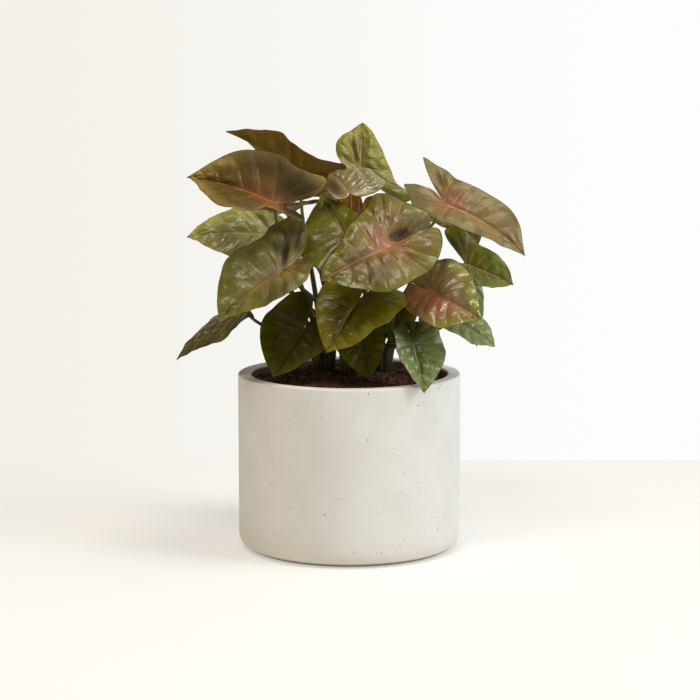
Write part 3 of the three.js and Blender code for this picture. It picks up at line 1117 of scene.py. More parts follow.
@dataclass
class Blade:
    """The blade of one leaf: two skins with quilting between sunken veins.

    Sizes are in millimetres. per_vein is how many lines of the mesh lie between two veins,
    and across how many steps it takes from the midrib to the edge. fan and crowding say
    where along the midrib the side veins start, and frill how deep the border's ripple is.

    OUTLINE holds points of one half's edge, as shares of its width and of the midrib or the
    lobe, of which the first LOBE_END lie in the sinus. SWELL_REACH is how far along the
    midrib a swelling reaches. VEINS says where the side veins meet the edge, and BOW how
    far they curve towards the join, as a share of the midrib. QUILT_HEIGHT is the height
    that the skin swells to between them. RIB_WIDTH belongs to the midrib's underside and
    the groove to its upper side. EDGE_SHARE is the part where the two skins run together.
    """

    leaf: Leaf
    number: int
    thickness: float = 0.42
    rib_depth: float = 0.9
    per_vein: int = 14
    across: int = 18
    fan: float = 0.47
    crowding: float = 1.7
    frill: float = 0.35
    surface: BladeSurface = field(init=False)

    OUTLINE = (
        (0.02, -0.10), (0.06, -0.45), (0.17, -0.82), (0.40, -1.00), (0.68, -0.86),
        (0.89, -0.47), (0.985, -0.05), (0.985, 0.16), (0.89, 0.36), (0.71, 0.56),
        (0.46, 0.75), (0.20, 0.895), (0.055, 0.965), (0.0, 1.0))
    LOBE_END = 3
    SWELL_REACH = 0.22
    CURVE_POINTS = 600
    BOW = 0.07
    QUILT_HEIGHT = 2.8
    RIB_WIDTH = 1.1
    GROOVE_DEPTH = 0.8
    GROOVE_WIDTH = 1.6
    EDGE_SHARE = 0.05
    VEINS = (0.0, 0.13, 0.26, 0.385, 0.49, 0.59, 0.685, 0.78, 0.87, 0.945, 1.0)

    def __post_init__(self) -> None:
        """Make the sheet that the blade follows."""
        self.surface = BladeSurface(self.leaf)

    def outline(self, half: int, share: Array) -> Array:
        """Points on the edge of one half.

        Args:
            half: 0 for the left half and 1 for the right half.
            share: how far round the edge, from 0 at the sinus to 1 at the tip.

        Returns:
            Distance across and distance along, in millimetres.
        """
        leaf = self.leaf
        width = leaf.half_width * leaf.breadth[half]
        lobe = leaf.lobes[half] * self.surface.midrib
        control = []
        for number, (part, distance) in enumerate(self.OUTLINE):
            forward = max(0.0, distance)
            bulge = 1 + leaf.fullness * 4 * forward * (1 - forward)
            swell = 1 + sum(
                extra * math.exp(-(((distance - spot) / self.SWELL_REACH) ** 2))
                for spot, extra in leaf.swell[half])
            hollow = leaf.sinus[half] * width * math.sin(-math.pi * distance)
            out = part * width * bulge * swell + (hollow if number < self.LOBE_END else 0.0)
            out += leaf.splay[half] * lobe * max(0.0, -distance)
            if number < len(self.OUTLINE) - 1:
                out = max(out, (leaf.sinus_gap + min(0.0, leaf.sinus[half])) * width)
            control.append((out, distance * (lobe if distance < 0 else self.surface.midrib)))
        points = self.spline(np.array(control), self.CURVE_POINTS)
        steps = np.hypot(*np.diff(points, axis=0).T)
        run = np.concatenate([[0.0], np.cumsum(steps)])
        run /= run[-1]
        return np.stack([np.interp(share, run, points[:, k]) for k in (0, 1)], -1)

    @staticmethod
    def spline(control: Array, count: int) -> Array:
        """A smooth curve through points.

        Args:
            control: the points, in order.
            count: how many points to give back.

        Returns:
            Points along the curve.
        """
        last = len(control) - 1
        spots = np.linspace(0, last, count)
        start = np.minimum(spots.astype(int), last - 1)
        u = (spots - start)[:, None]
        p0, p1 = control[np.maximum(start - 1, 0)], control[start]
        p2, p3 = control[start + 1], control[np.minimum(start + 2, last)]
        return 0.5 * (
            2 * p1 + (p2 - p0) * u + (2 * p0 - 5 * p1 + 4 * p2 - p3) * u**2
            + (3 * p1 - p0 - 3 * p2 + p3) * u**3)

    def stations(self, rng: np.random.Generator) -> tuple[Array, Array]:
        """Where the lines of the mesh meet the edge, closer together beside each vein.

        Args:
            rng: source of the veins' small irregularities.

        Returns:
            Share of the way round the edge, and the vein count there.
        """
        veins = np.array(self.VEINS)
        veins[1:-1] += rng.uniform(-0.012, 0.012, len(veins) - 2)
        count = len(veins) - 1
        step = np.linspace(0, 1, self.per_vein + 1)[:-1]
        step = step - 0.65 * np.sin(2 * math.pi * step) / (2 * math.pi)
        phase = np.concatenate([number + step for number in range(count)] + [[float(count)]])
        return np.interp(phase, np.arange(count + 1), veins), phase

    def quilting(self, phase: Array, share: Array, gap: Array, rng: np.random.Generator) -> Array:
        """Height of the swellings between the veins.

        Args:
            phase: vein count, whole on a vein.
            share: how far out from the midrib, 0 to 1.
            gap: distance between veins, in millimetres.
            rng: source of the swellings' irregularity.

        Returns:
            Height over the sheet, in millimetres.
        """
        count = len(self.VEINS) - 1
        size = rng.uniform(0.6, 1.25, count + 1)
        shift = rng.uniform(0.0, 1.0, count + 1)
        ripples = rng.uniform(1.2, 2.2, count + 1)
        skew = rng.uniform(-0.25, 0.25, count + 1)
        cell = np.minimum(phase.astype(int), count - 1)
        inside = phase - cell
        swell = np.sin(math.pi * inside**(1 + 0.5 * skew[cell])) ** 0.8
        body = 0.66 + 0.34 * np.cos(
            2 * math.pi * (share * ripples[cell] + shift[cell] + 0.25 * inside))
        creases = 0.12 * np.cos(2 * math.pi * (2.5 * inside + 1.3 * share + shift[cell]))
        envelope = smooth(share, 0.02, 0.25) * (1.0 - 0.75 * smooth(share, 0.7, 1.0))
        narrow = smooth(gap, 1.0, 11.0)
        height = self.QUILT_HEIGHT * self.leaf.quilt * size[cell]
        return height * swell * (body + creases) * envelope * narrow

    def half(self, half: int, rng: np.random.Generator) -> dict[str, Array]:
        """Both skins of one half as grids of corners.

        Args:
            half: 0 for the left half and 1 for the right half.
            rng: source of irregularity.

        Returns:
            The upper and lower corners and the measures of each.
        """
        stations, phase = self.stations(rng)
        step = np.linspace(0, 1, self.across + 1)
        share = (0.45 * step + 0.55 * (1 - np.cos(math.pi * step)) / 2)[None, :]
        rim = self.outline(half, stations)
        fan = np.maximum(0.0, (stations - self.fan) / (1 - self.fan))
        origin = self.surface.midrib * fan**self.crowding
        bow = self.BOW * self.surface.midrib * smooth(stations, 0.42, 0.6)
        bow = bow * (1 - smooth(stations, 0.9, 1.0))
        off = rim[:, :1] * share
        along = (
            origin[:, None] + (rim[:, 1] - origin)[:, None] * share
            - bow[:, None] * share * (1 - share) * 2)
        flat = np.stack([off, along], -1)
        across_step = np.gradient(flat, axis=0)
        out_step = np.gradient(flat, axis=1)
        twist = np.abs(np.cross(across_step, out_step))
        gap = twist / np.maximum(np.linalg.norm(out_step, axis=-1), 1e-6)
        gap = gap / np.gradient(phase)[:, None]
        share = np.broadcast_to(share, off.shape)
        phases = np.broadcast_to(phase[:, None], off.shape)
        height = self.quilting(phases, share, gap, rng)
        ahead = along > 0
        sign = 1.0 if half else -1.0
        # Dents with shade lay painted shade: the hollow measure that darkens the upper skin.
        hollow = np.zeros_like(height)
        for dent in self.leaf.dents:
            weight = dent.weight(sign * off, along)
            height = height + dent.lift * weight
            graded = smooth(weight, 0.05 + 0.3 * dent.crisp, 1.0 - 0.4 * dent.crisp)
            hollow = np.maximum(hollow, dent.shade * graded)
        frill = np.sin(2 * math.pi * (6.5 * stations + rng.uniform()))
        frill = frill + 0.6 * np.sin(2 * math.pi * (11.0 * stations + rng.uniform()))
        height = height + self.frill * frill[:, None] * share**4
        groove = self.GROOVE_DEPTH * np.exp(-((off / self.GROOVE_WIDTH) ** 2))
        groove = groove * smooth(along, 0.0, 8.0)
        height = height - groove * np.minimum(1.0, (self.surface.midrib - along) / 20.0)
        ends = smooth(stations, 0.0, 0.012) * (1 - smooth(stations, 0.985, 1.0))
        height = height * ends[:, None]
        thick = self.thickness / 2 * np.minimum(1.0, (1 - share) / self.EDGE_SHARE) ** 0.5
        thick = thick * (ends**0.5)[:, None]
        taper = np.clip(1 - along / self.surface.midrib, 0.0, 1.0) ** 0.8
        rib = self.rib_depth * np.exp(-((off / self.RIB_WIDTH) ** 2)) * taper
        rib = rib * smooth(along, -3.0, 2.0) * ends[:, None]
        return {
            "upper": self.surface.place(sign * off, along, height + thick),
            "lower": self.surface.place(sign * off, along, height - thick - rib),
            "rib_mm": np.where(ahead, off, np.hypot(off, along) + 1.0),
            "edge_mm": np.linalg.norm(flat - rim[:, None, :], axis=-1),
            "hollow": np.clip(hollow, 0.0, 1.0),
            "join_mm": np.hypot(off, along),
            "vein_gap": np.clip(gap, 0.3, 40.0),
            "phase": phases,
            "share": sign * share,
        }

    def build(self, upper: bpy.types.Material, lower: bpy.types.Material) -> bpy.types.Object:
        """The blade's object.

        Args:
            upper: material of the upper skin.
            lower: material of the lower skin.

        Returns:
            The finished piece.
        """
        rng = np.random.default_rng(SEED + self.number)
        points, triangles, uv, index = [], [], [], []
        measures: dict[str, list[Array]] = {
            key: [] for key in ("rib_mm", "edge_mm", "join_mm", "vein_gap", "hollow")}
        start = 0
        for half in (0, 1):
            grid = self.half(half, rng)
            rows, columns = grid["phase"].shape
            faces = grid_triangles(rows, columns)
            if half == 0:
                faces = faces[:, ::-1]
            map_points = np.stack([grid["phase"], grid["share"]], -1).reshape(-1, 2)
            for level, key in enumerate(("upper", "lower")):
                turned = faces[:, ::-1] if level else faces
                points.append(grid[key].reshape(-1, 3))
                triangles.append(turned + start)
                uv.append(map_points[turned])
                index.append(np.full(len(faces), level))
                for name, values in measures.items():
                    values.append(grid[name].ravel())
                start += rows * columns
        corners, kept, first, mask = weld(np.concatenate(points), np.concatenate(triangles))
        uv_kept = np.concatenate(uv)[mask]
        if enclosed(corners, kept) < 0:
            kept, uv_kept = kept[:, ::-1], uv_kept[:, ::-1]
        mesh = skin(
            f"blade_{self.leaf.name}", corners, kept, (upper, lower),
            np.concatenate(index)[mask], uv_kept,
            {name: np.concatenate(values)[first] for name, values in measures.items()})
        return link(f"blade_{self.leaf.name}", mesh)


@dataclass
class Stalk:
    """The stalk of one leaf, from inside its stem's sheaths to the underside of its blade.

    stem is where the stem stands, and slot the leaf's number on it. radius is the bare
    stalk's, to which the extras add: LOWER_EXTRA over the lower half, SHEATH_EXTRA by the
    foot and JOIN_EXTRA under the blade. TAPER is the share that it loses on its way up.
    """

    leaf: Leaf
    stem: Pair
    slot: int
    radius: float = 1.5
    root_height: float = 150.0
    root_rise: float = 3.0
    root_lean: float = 0.15
    stem_radius: float = 5.0
    clearance: float = 0.35
    buried: float = 14.0
    count: int = 26
    sides: int = 14

    TAPER = 0.12
    LOWER_EXTRA = 0.6
    SHEATH_EXTRA = 1.3
    JOIN_EXTRA = 0.35

    def path(self) -> Array:
        """The line that the stalk follows.

        Returns:
            Points along its middle, from its foot to its blade.
        """
        angle = math.radians(self.leaf.root)
        outward = np.array([math.cos(angle), math.sin(angle), 0.0])
        lift = self.root_height + self.root_rise * (self.slot % 3)
        middle = np.array([*self.stem, lift])
        root = middle + outward * (self.stem_radius + self.radius + self.clearance)
        surface = BladeSurface(self.leaf)
        end = surface.join - surface.up * 0.5
        span = float(np.linalg.norm(root - end))
        root_reach, join_reach = self.leaf.reach
        rise = unit(np.array([0.0, 0.0, 1.0]) + self.root_lean * outward)
        handles = np.array([
            root, root + rise * root_reach * span, end - surface.up * join_reach, end])
        t = np.linspace(0, 1, self.count)[:, None]
        curve = (
            (1 - t) ** 3 * handles[0] + 3 * (1 - t) ** 2 * t * handles[1]
            + 3 * (1 - t) * t**2 * handles[2] + t**3 * handles[3])
        foot = middle + outward * self.stem_radius * 0.55 - np.array([0, 0, self.buried])
        s = np.linspace(0, 1, 7)[:-1, None]
        sunk = (
            (1 - s) ** 2 * foot + 2 * (1 - s) * s * (root - rise * self.buried * 0.5)
            + s**2 * root)
        return np.concatenate([sunk, curve])

    def build(self, sheet: NodeSheet, finish: bpy.types.Material) -> bpy.types.Object:
        """The stalk's object.

        Args:
            sheet: the node tree that turns a line into a tapered tube.
            finish: the stalk's material.

        Returns:
            The finished piece.
        """
        path = self.path()
        steps = np.linalg.norm(np.diff(path, axis=0), axis=1)
        run = np.concatenate([[0.0], np.cumsum(steps)])
        length = run[-1]
        run = run / length
        girth = self.radius * (1.0 - self.TAPER * smooth(run, 0.5, 0.9))
        girth = girth + self.LOWER_EXTRA * (1 - smooth(run, 0.35, 0.85))
        girth = girth + self.SHEATH_EXTRA * (1 - smooth(run * length, 6.0, 40.0))
        girth = girth + self.JOIN_EXTRA * smooth(run, 0.93, 1.0)
        line = bpy.data.meshes.new("line")
        edges = [(k, k + 1) for k in range(len(path) - 1)]
        line.from_pydata((path * MM).tolist(), edges, [])
        for key, values in (("girth", girth * MM), ("run", run)):
            layer = line.attributes.new(key, "FLOAT", "POINT")
            layer.data.foreach_set("value", values.astype(np.float32))
        name = f"stalk_{self.leaf.name}"
        mesh = sheet.run(name, line, {"Sides": self.sides, "Finish": finish})
        return link(name, mesh)


def stalk_sheet() -> NodeSheet:
    """Make the tree that sweeps a round section along a line, as thick as the line says.

    Returns:
        The tree, with the inputs Sides and Finish.
    """
    sheet = NodeSheet("leaf_stalk")
    sides = sheet.input("Sides", "NodeSocketInt", 12)
    finish = sheet.input("Finish", "NodeSocketMaterial")
    line = sheet.node("GeometryNodeMeshToCurve", None, {"Mesh": sheet.given.outputs["Geometry"]})
    girth = sheet.node(
        "GeometryNodeInputNamedAttribute", {"data_type": "FLOAT"}, {"Name": "girth"})
    section = sheet.node(
        "GeometryNodeCurvePrimitiveCircle", None, {"Resolution": sides, "Radius": 1.0})
    tube = sheet.node(
        "GeometryNodeCurveToMesh", None,
        {"Curve": line.outputs[0], "Profile Curve": section.outputs[0],
         "Scale": girth.outputs["Attribute"], "Fill Caps": True})
    shaded = sheet.node("GeometryNodeSetShadeSmooth", None, {0: tube.outputs[0]})
    sheet.close(shaded.outputs[0], finish)
    return sheet


# ---- the plant ---------------------------------------------------------------------------


@dataclass
class Crown:
    """A stem's short upright crown, wrapped in sheaths.

    at is where it stands, and bottom and top its heights, all in millimetres.
    """

    name: str
    at: Pair
    radius: float = 5.0
    bottom: float = 112.0
    top: float = 160.0
    leaves: Sequence[Leaf] = ()

    ROWS = 30
    SIDES = 48

    def build(self, finish: bpy.types.Material) -> bpy.types.Object:
        """The crown's object.

        Args:
            finish: the sheaths' material.

        Returns:
            The finished piece.
        """
        share = np.linspace(0, 1, self.ROWS)[:, None]
        turn = np.linspace(0, 2 * math.pi, self.SIDES + 1)[None, :]
        flutes = 0.10 * np.cos(5 * turn + 4 * share) + 0.05 * np.cos(9 * turn - 3 * share)
        body = 0.92 - 0.25 * smooth(share, 0.75, 0.97) - 0.67 * smooth(share, 0.93, 1.0) ** 2
        radius = self.radius * body * (1 + flutes * (1 - share))
        radius[0] = radius[-1] = 0.0
        height = self.bottom + (self.top - self.bottom) * share
        points = np.stack([
            self.at[0] + radius * np.cos(turn), self.at[1] + radius * np.sin(turn),
            np.broadcast_to(height, radius.shape)], -1)
        points[:, -1] = points[:, 0]
        corners, kept, first, _ = weld(
            points.reshape(-1, 3), grid_triangles(self.ROWS, self.SIDES + 1))
        run = np.broadcast_to(share * 0.3, radius.shape).ravel()[first]
        return link(self.name + "_crown", skin(
            self.name + "_crown", corners, kept, (finish,), measures={"run": run}))


# Dents with shade above 0 lay painted shade on their blade, some where the skin neither swells nor
# sinks.
LEFT = Crown("stem_left", (-20, 0), leaves=(
    Leaf("far_left", (-83, -8, 193), (-139, -16, 154), (-60, 52), 185, 27, fold=4,
         lobes=(0.05, 0.05), phase=0.4, stalk=StalkTone.DARK, tone=Tone.TAUPE, quilt=0.6,
         swell=(((0.02, -0.5),), ((0.02, -0.55),))),
    Leaf("upper_left", (-57, -38, 282), (-127, -46, 303), (5, 45), 235, 32.6, fold=34,
         cup=-6, droop=28, lobes=(0.32, 0.5), lobe_bend=-25, splay=(0, 0.4),
         fullness=0.22, phase=0.8, tone=Tone.BRONZE, quilt=0.7,
         swell=(((-0.5, -0.3), (0.1, -0.5), (0.55, 0.75), (0.8, 0.65)),
                ((-0.7, -0.2), (0.85, -0.1))),
         dents=(Dent(-9, -20, 16, 26, 0.0, 0, 1.0, -1), Dent(20, -10, 18, 24, 0.0, 0, 0.9, 1),
                Dent(29, 14, 14, 40, 0.0, 0, 0.7, 1))),
    Leaf("front_left", (-51, -60, 232), (-101, -76, 192), (-34, 34), 335, 40, fold=24,
         cup=-18, droop=28, lobes=(0.4, 0.64), lobe_bend=-45, splay=(-0.12, 0.12),
         sinus=(0, -0.1), breadth=(0.87, 1), phase=0.1, stalk=StalkTone.DARK,
         tone=Tone.OLIVE, quilt=1.1,
         swell=(((-0.4, -0.12), (0.4, 0.12)), ((0, -0.14),)),
         dents=(Dent(11, -9, 3, 15, -3.5, -45, 0.9, crisp=0.6), Dent(22, 7, 6, 11, 2.6, 50),
                Dent(26.5, 22, 6, 9, 2.2, 50), Dent(13, 36, 6, 8, 2.0, 60),
                Dent(25, -11, 5, 9, 1.6, 40), Dent(14, -26, 14, 14, 0.0, 0, 0.75, 1),
                Dent(4, 8, 12, 14, 0.0, 0, 0.4), Dent(-28, 20, 13, 18, 0.0, 0, 0.6, -1),
                Dent(16, -12, 11, 12, 0.0, 0, 0.9, 1),
                Dent(-14, -20, 14, 16, 0.0, 0, 0.6, -1))),
    Leaf("low_left", (-36, -38, 183), (-60, -60, 147), (-12, 20), 285, 32, fold=8,
         cup=-12, droop=12, lobes=(0.6, 0.6), lobe_bend=-5, breadth=(0.8, 1), phase=0.6,
         stalk=StalkTone.DARK, tone=Tone.DEEP, quilt=0.5, swell=(((0.5, -0.15),), ())),
    Leaf("back_low_left", (-66, 56, 222), (-106, 104, 190), (-135, 50), 55, 32,
         lobes=(0.4, 0.4), phase=0.7, tone=Tone.MOSS),
    Leaf("high_left", (-37, 40, 299), (-100, 20, 336), (165, 60), 110, 36, fold=8,
         cup=-10, droop=20, lobes=(0.36, 0.3), lobe_bend=-5, splay=(0.3, 0),
         tone=Tone.UNDERSIDE, quilt=0.6,
         swell=(((0.6, 0.3), (0.3, -0.35), (-0.4, 0.3)), ((0.6, -0.4), (0.85, -0.8)))),
    Leaf("mid_left", (-64, 2, 253), (-130, -14, 253), (-5, 50), 150, 31, fold=14,
         cup=-25, droop=28, lobes=(0.3, 0.35), breadth=(1, 0.9), phase=0.3,
         stalk=StalkTone.DARK, tone=Tone.PALE, quilt=1.0, swell=(((0.75, 0.35),), ()),
         dents=(Dent(16, 4, 2.2, 16, -2.0, 60, 0.8, crisp=0.6), Dent(14, 22, 6, 9, 2.4, 50),
                Dent(20, -4, 5, 9, 2.2, 60))),
))
FRONT = Crown("stem_front", (2, -19), leaves=(
    Leaf("foot_centre", (8, -42, 178), (16, -60, 145), (-5, 18), 290, 20, fold=18,
         droop=20, lobes=(0.3, 0.3), lobe_bend=-5, phase=0.2, stalk=StalkTone.DARK,
         tone=Tone.DEEP, quilt=0.5),
    Leaf("over_rim", (49, -62, 176), (58, -82, 138), (20, 20), 335, 22, fold=20,
         cup=-14, droop=18, lobes=(0.46, 0.5), splay=(-0.16, -0.22), breadth=(1.05, 0.75),
         fullness=0.12, phase=0.9, stalk=StalkTone.DARK, tone=Tone.BLUE, quilt=0.8,
         swell=(((-1, -0.4), (-0.4, 0.15)), ((-1, -0.4), (-0.4, 0.15))),
         dents=(Dent(2, -12, 17, 14, 0.0, 0, 1.0, crisp=0.4),)),
    Leaf("front_centre", (31, -68, 251), (-22, -88, 226), (-8, 36), 20, 40,
         droop=22, lobes=(0.68, 0.7), lobe_bend=-12, splay=(-0.28, -0.2),
         breadth=(1.1, 1.14), fullness=0, phase=0.35, tone=Tone.BLUSHED, quilt=1.1,
         swell=(((0, -0.15),), ((-0.5, 0.3), (0.05, -0.1), (0.3, -0.24), (0.65, -0.45))),
         dents=(Dent(6, -15, 6.5, 13, -6.0, 12, 1.0, 1, 1.0),
                Dent(-6, -22, 8, 17, 5.0, -10, side=-1),
                Dent(28, -12, 3.0, 14, 2.0, 55), Dent(25, 6, 5, 9, 2.0, 40),
                Dent(-12, 15, 5, 9, 1.6, -50), Dent(8, -31, 11, 9, 0.0, 0, 0.55),
                Dent(2, 30, 12, 9, 0.0, 0, 0.5), Dent(-22, 22, 9, 12, 0.0, 0, 0.45))),
    Leaf("inner_centre", (-21, -6, 236), (-37, -32, 235), (0, 50), 90, 18, fold=10,
         droop=20, phase=0.5, stalk=StalkTone.DARK, tone=Tone.DEEP, quilt=0.5),
    Leaf("curled_top", (0, -22, 289), (-16, 18, 302), (-10, 62), 150, 32, fold=14,
         cup=-30, droop=30, lobes=(0.08, 0.16), lobe_bend=40, breadth=(0.44, 1),
         stalk=StalkTone.RUSSET, tone=Tone.SATIN, quilt=0.9,
         dents=(Dent(-8, 20, 7, 24, -6.0, 0, 1.0, -1, 0.5), Dent(14, 16, 3.5, 16, 2.4, side=1),
                Dent(23, 13, 3.0, 14, 2.2, side=1), Dent(19, 12, 1.4, 14, -1.6, 0, 0.5, 1))),
    Leaf("inner_left", (-3, -40, 256), (-21, 0, 287), (-35, 38), 195, 36,
         cup=-10, droop=15, breadth=(1, 0.5), phase=0.15, stalk=StalkTone.DARK,
         tone=Tone.FERN, quilt=0.5,
         swell=(((0.8, -0.2),), ((0.5, -0.2), (0.85, -0.5)))),
    Leaf("low_centre", (8, -58, 209), (-18, -80, 169), (-5, 30), 245, 37,
         droop=20, lobes=(0.6, 0.6), lobe_bend=48, splay=(0.1, 0), breadth=(0.88, 0.82),
         stalk=StalkTone.DARK, tone=Tone.MOSS, quilt=0.8, swell=(((-0.5, 0.15), (0.4, -0.2)), ())),
))
RIGHT = Crown("stem_right", (26, 0), leaves=(
    Leaf("foot_right", (38, -32, 201), (33, -42, 171), (0, 24), 260, 17, fold=10,
         droop=20, lobes=(0.35, 0.35), phase=0.45, stalk=StalkTone.DARK, tone=Tone.DEEP, quilt=0.5),
    Leaf("front_right", (63, -53, 215), (102, -83, 196), (-15, 30), 300, 30, fold=14,
         droop=20, lobes=(0.5, 0.46), splay=(-0.2, -0.3), breadth=(1, 0.95), phase=0.55,
         tone=Tone.COPPER, quilt=0.7,
         swell=(((-1, -0.5),), ((-1, -0.5), (-0.3, -0.15), (0.15, -0.15), (0.7, 0.2))),
         dents=(Dent(-15, -13, 7, 8, 3.6, -30), Dent(-6, 18, 6, 8, 2.8),
                Dent(8, 33, 6, 8, 1.6))),
    Leaf("low_right", (80, -20, 189), (116, -30, 167), (25, 50), 340, 24, fold=10,
         phase=0.25, tone=Tone.SMOKE, quilt=0.6, swell=((), ((0, -0.35), (0.35, -0.3)))),
    Leaf("hanging_right", (92, 14, 222), (104, 10, 161), (15, 8), 60, 16, fold=4,
         lobes=(0.05, 0.05), breadth=(0.85, 1), tone=Tone.BLUE, quilt=0.8),
    Leaf("mid_right", (93, -6, 231), (132, -8, 214), (-5, 42), 20, 23, fold=24, cup=-8,
         droop=15, lobes=(0.55, 0.3), splay=(0.6, 0.2), fullness=0.15, phase=0.05,
         reach=(0.45, 10), stalk=StalkTone.TAN, tone=Tone.LEAF, quilt=0.35,
         dents=(Dent(-13, -9, 11, 12, 0.0, 0, 0.7, -1),),
         swell=(((0.15, -0.2), (0.45, -0.2)), ((0.1, -0.3),))),
    Leaf("back_low_right", (52, 60, 212), (92, 106, 180), (135, 50), 115, 32,
         lobes=(0.4, 0.4), phase=0.85, tone=Tone.OLIVE),
    Leaf("upper_right", (76, -24, 280), (138, -46, 241), (5, 48), 200, 31, fold=20,
         cup=-10, droop=45, lobes=(0.54, 0.48), lobe_bend=-42, splay=(0.44, -0.08),
         sinus=(0.75, -0.3), breadth=(0.75, 0.85), fullness=0.12, phase=0.65,
         stalk=StalkTone.LIME, tone=Tone.ROSE, quilt=0.6,
         dents=(Dent(-19, -18, 2.6, 10, -2.0, 38, 0.95, crisp=0.8), Dent(-11, -3, 6, 9, 3.4, -30),
                Dent(12, -22, 15, 18, 0.0, 0, 0.75, 1)),
         swell=(((-0.9, -0.4), (0.75, 0.36)), ((-0.9, -0.3), (0.5, -0.15)))),
))
BACK = Crown("stem_back", (3, 18), leaves=(
    Leaf("back_upper_right", (64, 50, 264), (110, 100, 236), (140, 55), 35, 33,
         phase=0.75, tone=Tone.BRONZE),
    Leaf("back_low_centre", (4, 74, 232), (2, 126, 188), (180, 45), 90, 32,
         lobes=(0.35, 0.35), phase=0.5, tone=Tone.BLUSHED),
    Leaf("back_upper_left", (-54, 74, 270), (-106, 112, 238), (-130, 55), 145, 33,
         tone=Tone.COPPER),
    Leaf("back_upper_centre", (-12, 78, 290), (-4, 138, 262), (180, 60), 200, 34,
         lobes=(0.35, 0.35), phase=0.3, tone=Tone.OLIVE),
    Leaf("top_centre", (9, 34, 302), (11, 66, 341), (-12, 38), 250, 27, fold=14,
         cup=-14, droop=12, lobes=(0.15, 0.58), splay=(0, 0.8), breadth=(0.85, 0.75),
         phase=0.6, reach=(0.45, 12), tone=Tone.LIME, quilt=1.0,
         dents=(Dent(-5, 20, 1.8, 13, -4.0, -14, 1.0, crisp=0.8), Dent(-14, 24, 7, 12, 3.5),
                Dent(8, 22, 6, 16, 2.0)),
         swell=(((-0.1, -0.5), (0.2, -0.2), (0.55, 0.15)),
                ((-0.8, 0.9), (-0.1, 0.25), (0.6, -0.1)))),
    Leaf("inner_back", (11, 52, 274), (7, 58, 243), (185, 10), 330, 19, fold=8,
         droop=20, lobes=(0.3, 0.3), phase=0.2, stalk=StalkTone.RUSSET, tone=Tone.AMBER,
         quilt=0.4),
))


@dataclass
class Plant:
    """All the stems with their leaves."""

    crowns: Sequence[Crown] = (LEFT, FRONT, RIGHT, BACK)

    def build(self) -> None:
        """Make every stem, stalk and blade, and hand each to the frame."""
        finish = LeafFinish()
        skins = {
            tone: (finish.upper(f"leaf_{tone.name.lower()}", tone.value),
                   finish.lower(f"leaf_back_{tone.name.lower()}", tone.value))
            for tone in Tone}
        stalks = {
            tone: StalkFinish(*tone.value).material(f"stalk_{tone.name.lower()}")
            for tone in StalkTone}
        sheet = stalk_sheet()
        number = 0
        for crown in self.crowns:
            hand_over(crown.build(stalks[StalkTone.SHEATH]), "stem", crown.name)
            for slot, leaf in enumerate(crown.leaves):
                number += 1
                tube = Stalk(leaf, crown.at, slot).build(sheet, stalks[leaf.stalk])
                hand_over(tube, "petiole", f"petiole_{leaf.name}")
                blade = Blade(leaf, number).build(*skins[leaf.tone])
                hand_over(blade, "leaf", f"leaf_{leaf.name}")


def hand_over(piece: bpy.types.Object, slot: str, *nodes: str) -> None:
    """Give a finished piece to the frame.

    Args:
        piece: the object.
        slot: the record's material slot; not used.
        nodes: the CAD nodes that the piece stands for.
    """
    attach(piece, BODY)
    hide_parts(*nodes)
    LOG.info("%s: %d faces for %s", piece.name, len(piece.data.polygons), ", ".join(nodes))


# ---- pot and potting mix -----------------------------------------------------------------


@dataclass
class Pot:
    """Straight-sided round pot with a soft foot edge and a narrow rim."""

    radius: float = 90.0
    height: float = 142.0
    wall: float = 10.5
    floor: float = 12.0
    foot_radius: float = 12.0
    rim_radius: float = 1.2
    sides: int = 288

    def quarter(self, x: float, z: float, radius: float, start: float, steps: int) -> Array:
        """Points of a quarter circle in the profile, both ends included."""
        angle = np.radians(start + 90.0 * np.arange(steps + 1) / steps)
        return np.stack([x + radius * np.cos(angle), z + radius * np.sin(angle)], 1)

    def profile(self) -> Array:
        """The pot's outline, from the middle of its underside round to that of its floor.

        Returns:
            Radius and height of each point, in millimetres.
        """
        inner = self.radius - self.wall
        rim = self.height - self.rim_radius
        foot = self.foot_radius
        side = np.linspace(foot, rim, 26)[1:-1]
        outside = np.stack([np.full(len(side), self.radius), side], 1)
        base = np.stack([np.linspace(0, self.radius - foot, 10)[:-1], np.zeros(9)], 1)
        return np.concatenate([
            base,
            self.quarter(self.radius - foot, foot, foot, -90, 14),
            outside,
            self.quarter(self.radius - self.rim_radius, rim, self.rim_radius, 0, 5),
            self.quarter(inner + self.rim_radius, rim, self.rim_radius, 90, 5),
            self.quarter(inner - foot, self.floor + foot, foot, -90, 10)[::-1],
            [[0.0, self.floor]]])

    def build(self) -> bpy.types.Object:
        """The pot's object.

        Returns:
            The finished piece.
        """
        profile = self.profile()
        turn = np.linspace(0, 2 * math.pi, self.sides + 1)
        points = np.stack([
            profile[:, :1] * np.cos(turn), profile[:, :1] * np.sin(turn),
            np.broadcast_to(profile[:, 1:], (len(profile), len(turn)))], -1)
        points[:, -1] = points[:, 0]
        corners, kept, _, _ = weld(
            points.reshape(-1, 3), grid_triangles(len(profile), len(turn))[:, ::-1])
        clay = ClayFinish().material("clay")
        return link("pot_body", skin("pot_body", corners, outward(corners, kept), (clay,)))


